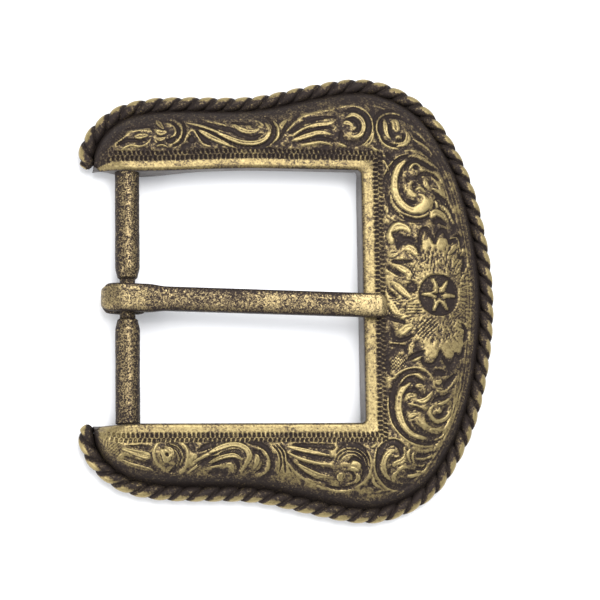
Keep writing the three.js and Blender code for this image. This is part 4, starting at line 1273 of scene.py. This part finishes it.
def bar_radius(off):
    """Radius at a distance from the middle of the neck."""
    shoulder_radius = BAR_RADIUS - SHOULDER_FALL
    step_up = smooth_step(off, NECK_HALF - 0.05, NECK_HALF + 0.3)
    taper = smooth_step(off, NECK_HALF + 0.2, NECK_HALF + SHOULDER_LENGTH)
    return NECK_RADIUS + (shoulder_radius - NECK_RADIUS) * step_up + SHOULDER_FALL * taper


bar_y = np.arange(-HALF_WINDOW - BAR_INTO_LUG, HALF_WINDOW + BAR_INTO_LUG, 0.16)[:, None]
from_neck = np.abs(bar_y - NECK_SHIFT)
bar_turn = np.linspace(0, 2 * np.pi, BAR_AROUND, endpoint=False)[None, :]
print("bar rings", len(bar_y), "radius", round(float(bar_radius(from_neck).max()), 2))

# %% Bar piece
bar_grain = speckle((len(bar_y), BAR_AROUND), 4, 31)
bar_wave = speckle((len(bar_y), BAR_AROUND), 14, 32)
bar_r = bar_radius(from_neck) + 0.015 * bar_grain - 0.02 + 0.02 * bar_wave
in_lug = smooth_step(np.abs(bar_y), HALF_WINDOW - 0.1, HALF_WINDOW + 0.1)
bar_r = bar_r * (1 - in_lug) + SPIGOT_RADIUS * in_lug
# Lighter along the top: worn streaks plus a painted highlight; the sides stay darker, partly painted shade.
bar_wear_and_highlight = -0.08 + 0.52 * smooth_step(np.sin(bar_turn), 0.45, 0.98) + 0.08 * (bar_grain + bar_wave)
bar_wear_and_highlight *= 1 - 0.75 * smooth_step(np.abs(bar_y), HALF_WINDOW - 3.5, HALF_WINDOW)
bar_wear_and_highlight *= 1 - 0.6 * (1 - smooth_step(from_neck, NECK_HALF - 0.1, NECK_HALF + 0.4))
make_piece("turned_bar", BAR_X + bar_r * np.cos(bar_turn), bar_y * np.ones(bar_r.shape),
           BAR_Z + bar_r * np.sin(bar_turn), bar_wear_and_highlight, bar_brass, "buckle_frame", "heel_bar")

# %% [markdown]
# ## The prong from the side
# The prong is cast as one strip whose end is rolled round the neck of the bar. It is swept from a run of
# stations. Each station gives a place on the underside and one on the top. Seen from the side, these two
# lines draw the hook, the shank and the nose. A small seam stays open where the rolled end comes back
# under the shank. Here places are counted from the bar's axis.

# %% Prong stations
HOOK_BORE = 1.55
PRONG_THICKNESS = 1.9
PRONG_OVERHANG = 3.45
SEAM_ANGLE = math.degrees(math.asin(0.3))
NOSE_LENGTH = 2.0
prong_tip = BAR_TO_CROSSBAR + PRONG_OVERHANG
prong_top = RIM_HEIGHT - CROSSBAR_DIP + 0.4 - BAR_Z + PRONG_THICKNESS
HOOK_OUTSIDE = ([-300, -270, -225, -180, -135, -90, -45, 0, 30],
                [3.1, 2.95, 3.55, 4.2, 3.75, 2.75, 2.85, 2.75, 2.9])
UNDER = [(0.0, HOOK_BORE), (0.7, 1.38), (1.3, 0.9), (2.75, 0.87), (BAR_TO_CROSSBAR, 2.8),
         (prong_tip - 1.0, 3.12), (prong_tip, 3.3)]
OVER = [(0.0, 2.98), (2.0, 3.02), (5.0, 3.15), (prong_tip - 5, prong_top),
        (prong_tip - 2.5, prong_top + 0.02), (prong_tip - 1.0, prong_top - 0.08),
        (prong_tip - 0.4, prong_top - 0.35), (prong_tip, 4.0)]


def prong_stations():
    """Places on the underside and on the top, from the rolled end round the hook and out to the nose."""
    turn = np.radians(np.linspace(SEAM_ANGLE, -262, 60))
    around_axis = np.stack([np.cos(turn), np.sin(turn)], 1)
    outside = np.interp(np.degrees(turn), *HOOK_OUTSIDE)[:, None]
    nose = prong_tip - NOSE_LENGTH * np.cos(np.linspace(0.02, np.pi / 2 - 0.02, 26))
    x = np.concatenate([np.linspace(0.1, 6, 36), np.linspace(6.25, prong_tip - NOSE_LENGTH, 150), nose])
    shank_low = np.stack([x, np.interp(x, *zip(*UNDER))], 1)
    shank_high = np.stack([x, np.interp(x, *zip(*OVER))], 1)
    return np.vstack([HOOK_BORE * around_axis, shank_low]), np.vstack([outside * around_axis, shank_high])


lows, highs = prong_stations()
print("prong stations", len(lows), "length", round(prong_tip, 1))

# %% [markdown]
# ## The prong's section
# A rounded rectangle stands between each pair of places. It is wider at the root, slimmer along the
# shank and round at the nose. The shank leans slightly in its plane and its top is a little crowned.

# %% Prong piece
PRONG_AROUND = 56
CORNER_POWER = 0.36
ROOT_HALF = 2.2
SHANK_HALF = 1.9
LEAN = math.tan(math.radians(-1.8))
CROWN = 0.10


def prong_half(x):
    """Half-width at a place along the prong."""
    shank = ROOT_HALF + (SHANK_HALF - ROOT_HALF) * smooth_step(x, 3.0, 6.0)
    nose = np.clip(1 - ((x - (prong_tip - SHANK_HALF)) / SHANK_HALF) ** 3, 0.0, 1) ** (1 / 3)
    rolled_end = 1 - 0.25 * (1 - smooth_step(x, -4.3, -3.4))
    return np.maximum(np.where(x > prong_tip - SHANK_HALF, shank * nose, shank) * rolled_end, 0.05)


def squared(value):
    """Pushes a sine or cosine outwards, which turns a circle into a rounded square."""
    return np.sign(value) * np.abs(value) ** CORNER_POWER


section_angle = np.linspace(0, 2 * np.pi, PRONG_AROUND, endpoint=False) + np.pi / PRONG_AROUND
wide, high = squared(np.cos(section_angle)), squared(np.sin(section_angle))
centre = (lows + highs) / 2
reach = (highs - lows) / 2
prong_x = centre[:, :1] + reach[:, :1] * high
prong_y = prong_half(highs[:, :1]) * wide + NECK_SHIFT + LEAN * prong_x
prong_grain = speckle(prong_x.shape, 3, 41)
prong_wave = speckle(prong_x.shape, 12, 42)
past_root = centre[:, :1] > 3
prong_z = centre[:, 1:] + reach[:, 1:] * high + 0.008 * prong_grain
prong_z += (CROWN * (1 - wide ** 2) * (high > 0) - 0.06) * past_root
print("prong from", round(float(prong_x.min()), 1), "to", round(float(prong_x.max()), 1))

# %% [markdown]
# ## Wear and painted light of the prong
# The nose and the top ridge are rubbed by the belt, and the root by the hand that turns it. The ridge's
# lightness is partly a painted highlight too, and a band along one edge of the top is painted shade. The
# rest keeps its mottled dark.

# %% Wear and painted light of the prong
rubbed_tip = smooth_step(centre[:, :1], prong_tip - 9, prong_tip - 2)
root = 1 - smooth_step(centre[:, :1], 0.0, 4.0)
# The top ridge: wear from the belt, and partly a painted highlight.
ridge = smooth_step(high, 0.75, 1.0) * (1 - 0.5 * smooth_step(np.abs(wide), 0.86, 1.0))
edges = smooth_step(np.abs(wide), 0.70, 0.94)
# Painted shade: a darker band along the top's edge on one side of the shank.
painted_shade_edge = smooth_step(wide, 0.55, 0.85) * (1 - rubbed_tip) * (1 - root)
prong_wear_and_light = 0.02 + ridge * (0.38 + 0.42 * rubbed_tip + 0.12 * edges * (1 - rubbed_tip) + 0.18 * root)
prong_wear_and_light -= 0.35 * ridge * painted_shade_edge
prong_wear_and_light += 0.30 * rubbed_tip * smooth_step(high, -0.4, 0.4) * (1 - ridge)
prong_wear_and_light += 0.06 * prong_grain + 0.15 * prong_wave
make_piece("hooked_prong", prong_x + BAR_X, prong_y, prong_z + BAR_Z, prong_wear_and_light, prong_brass,
           "prong", "prong")
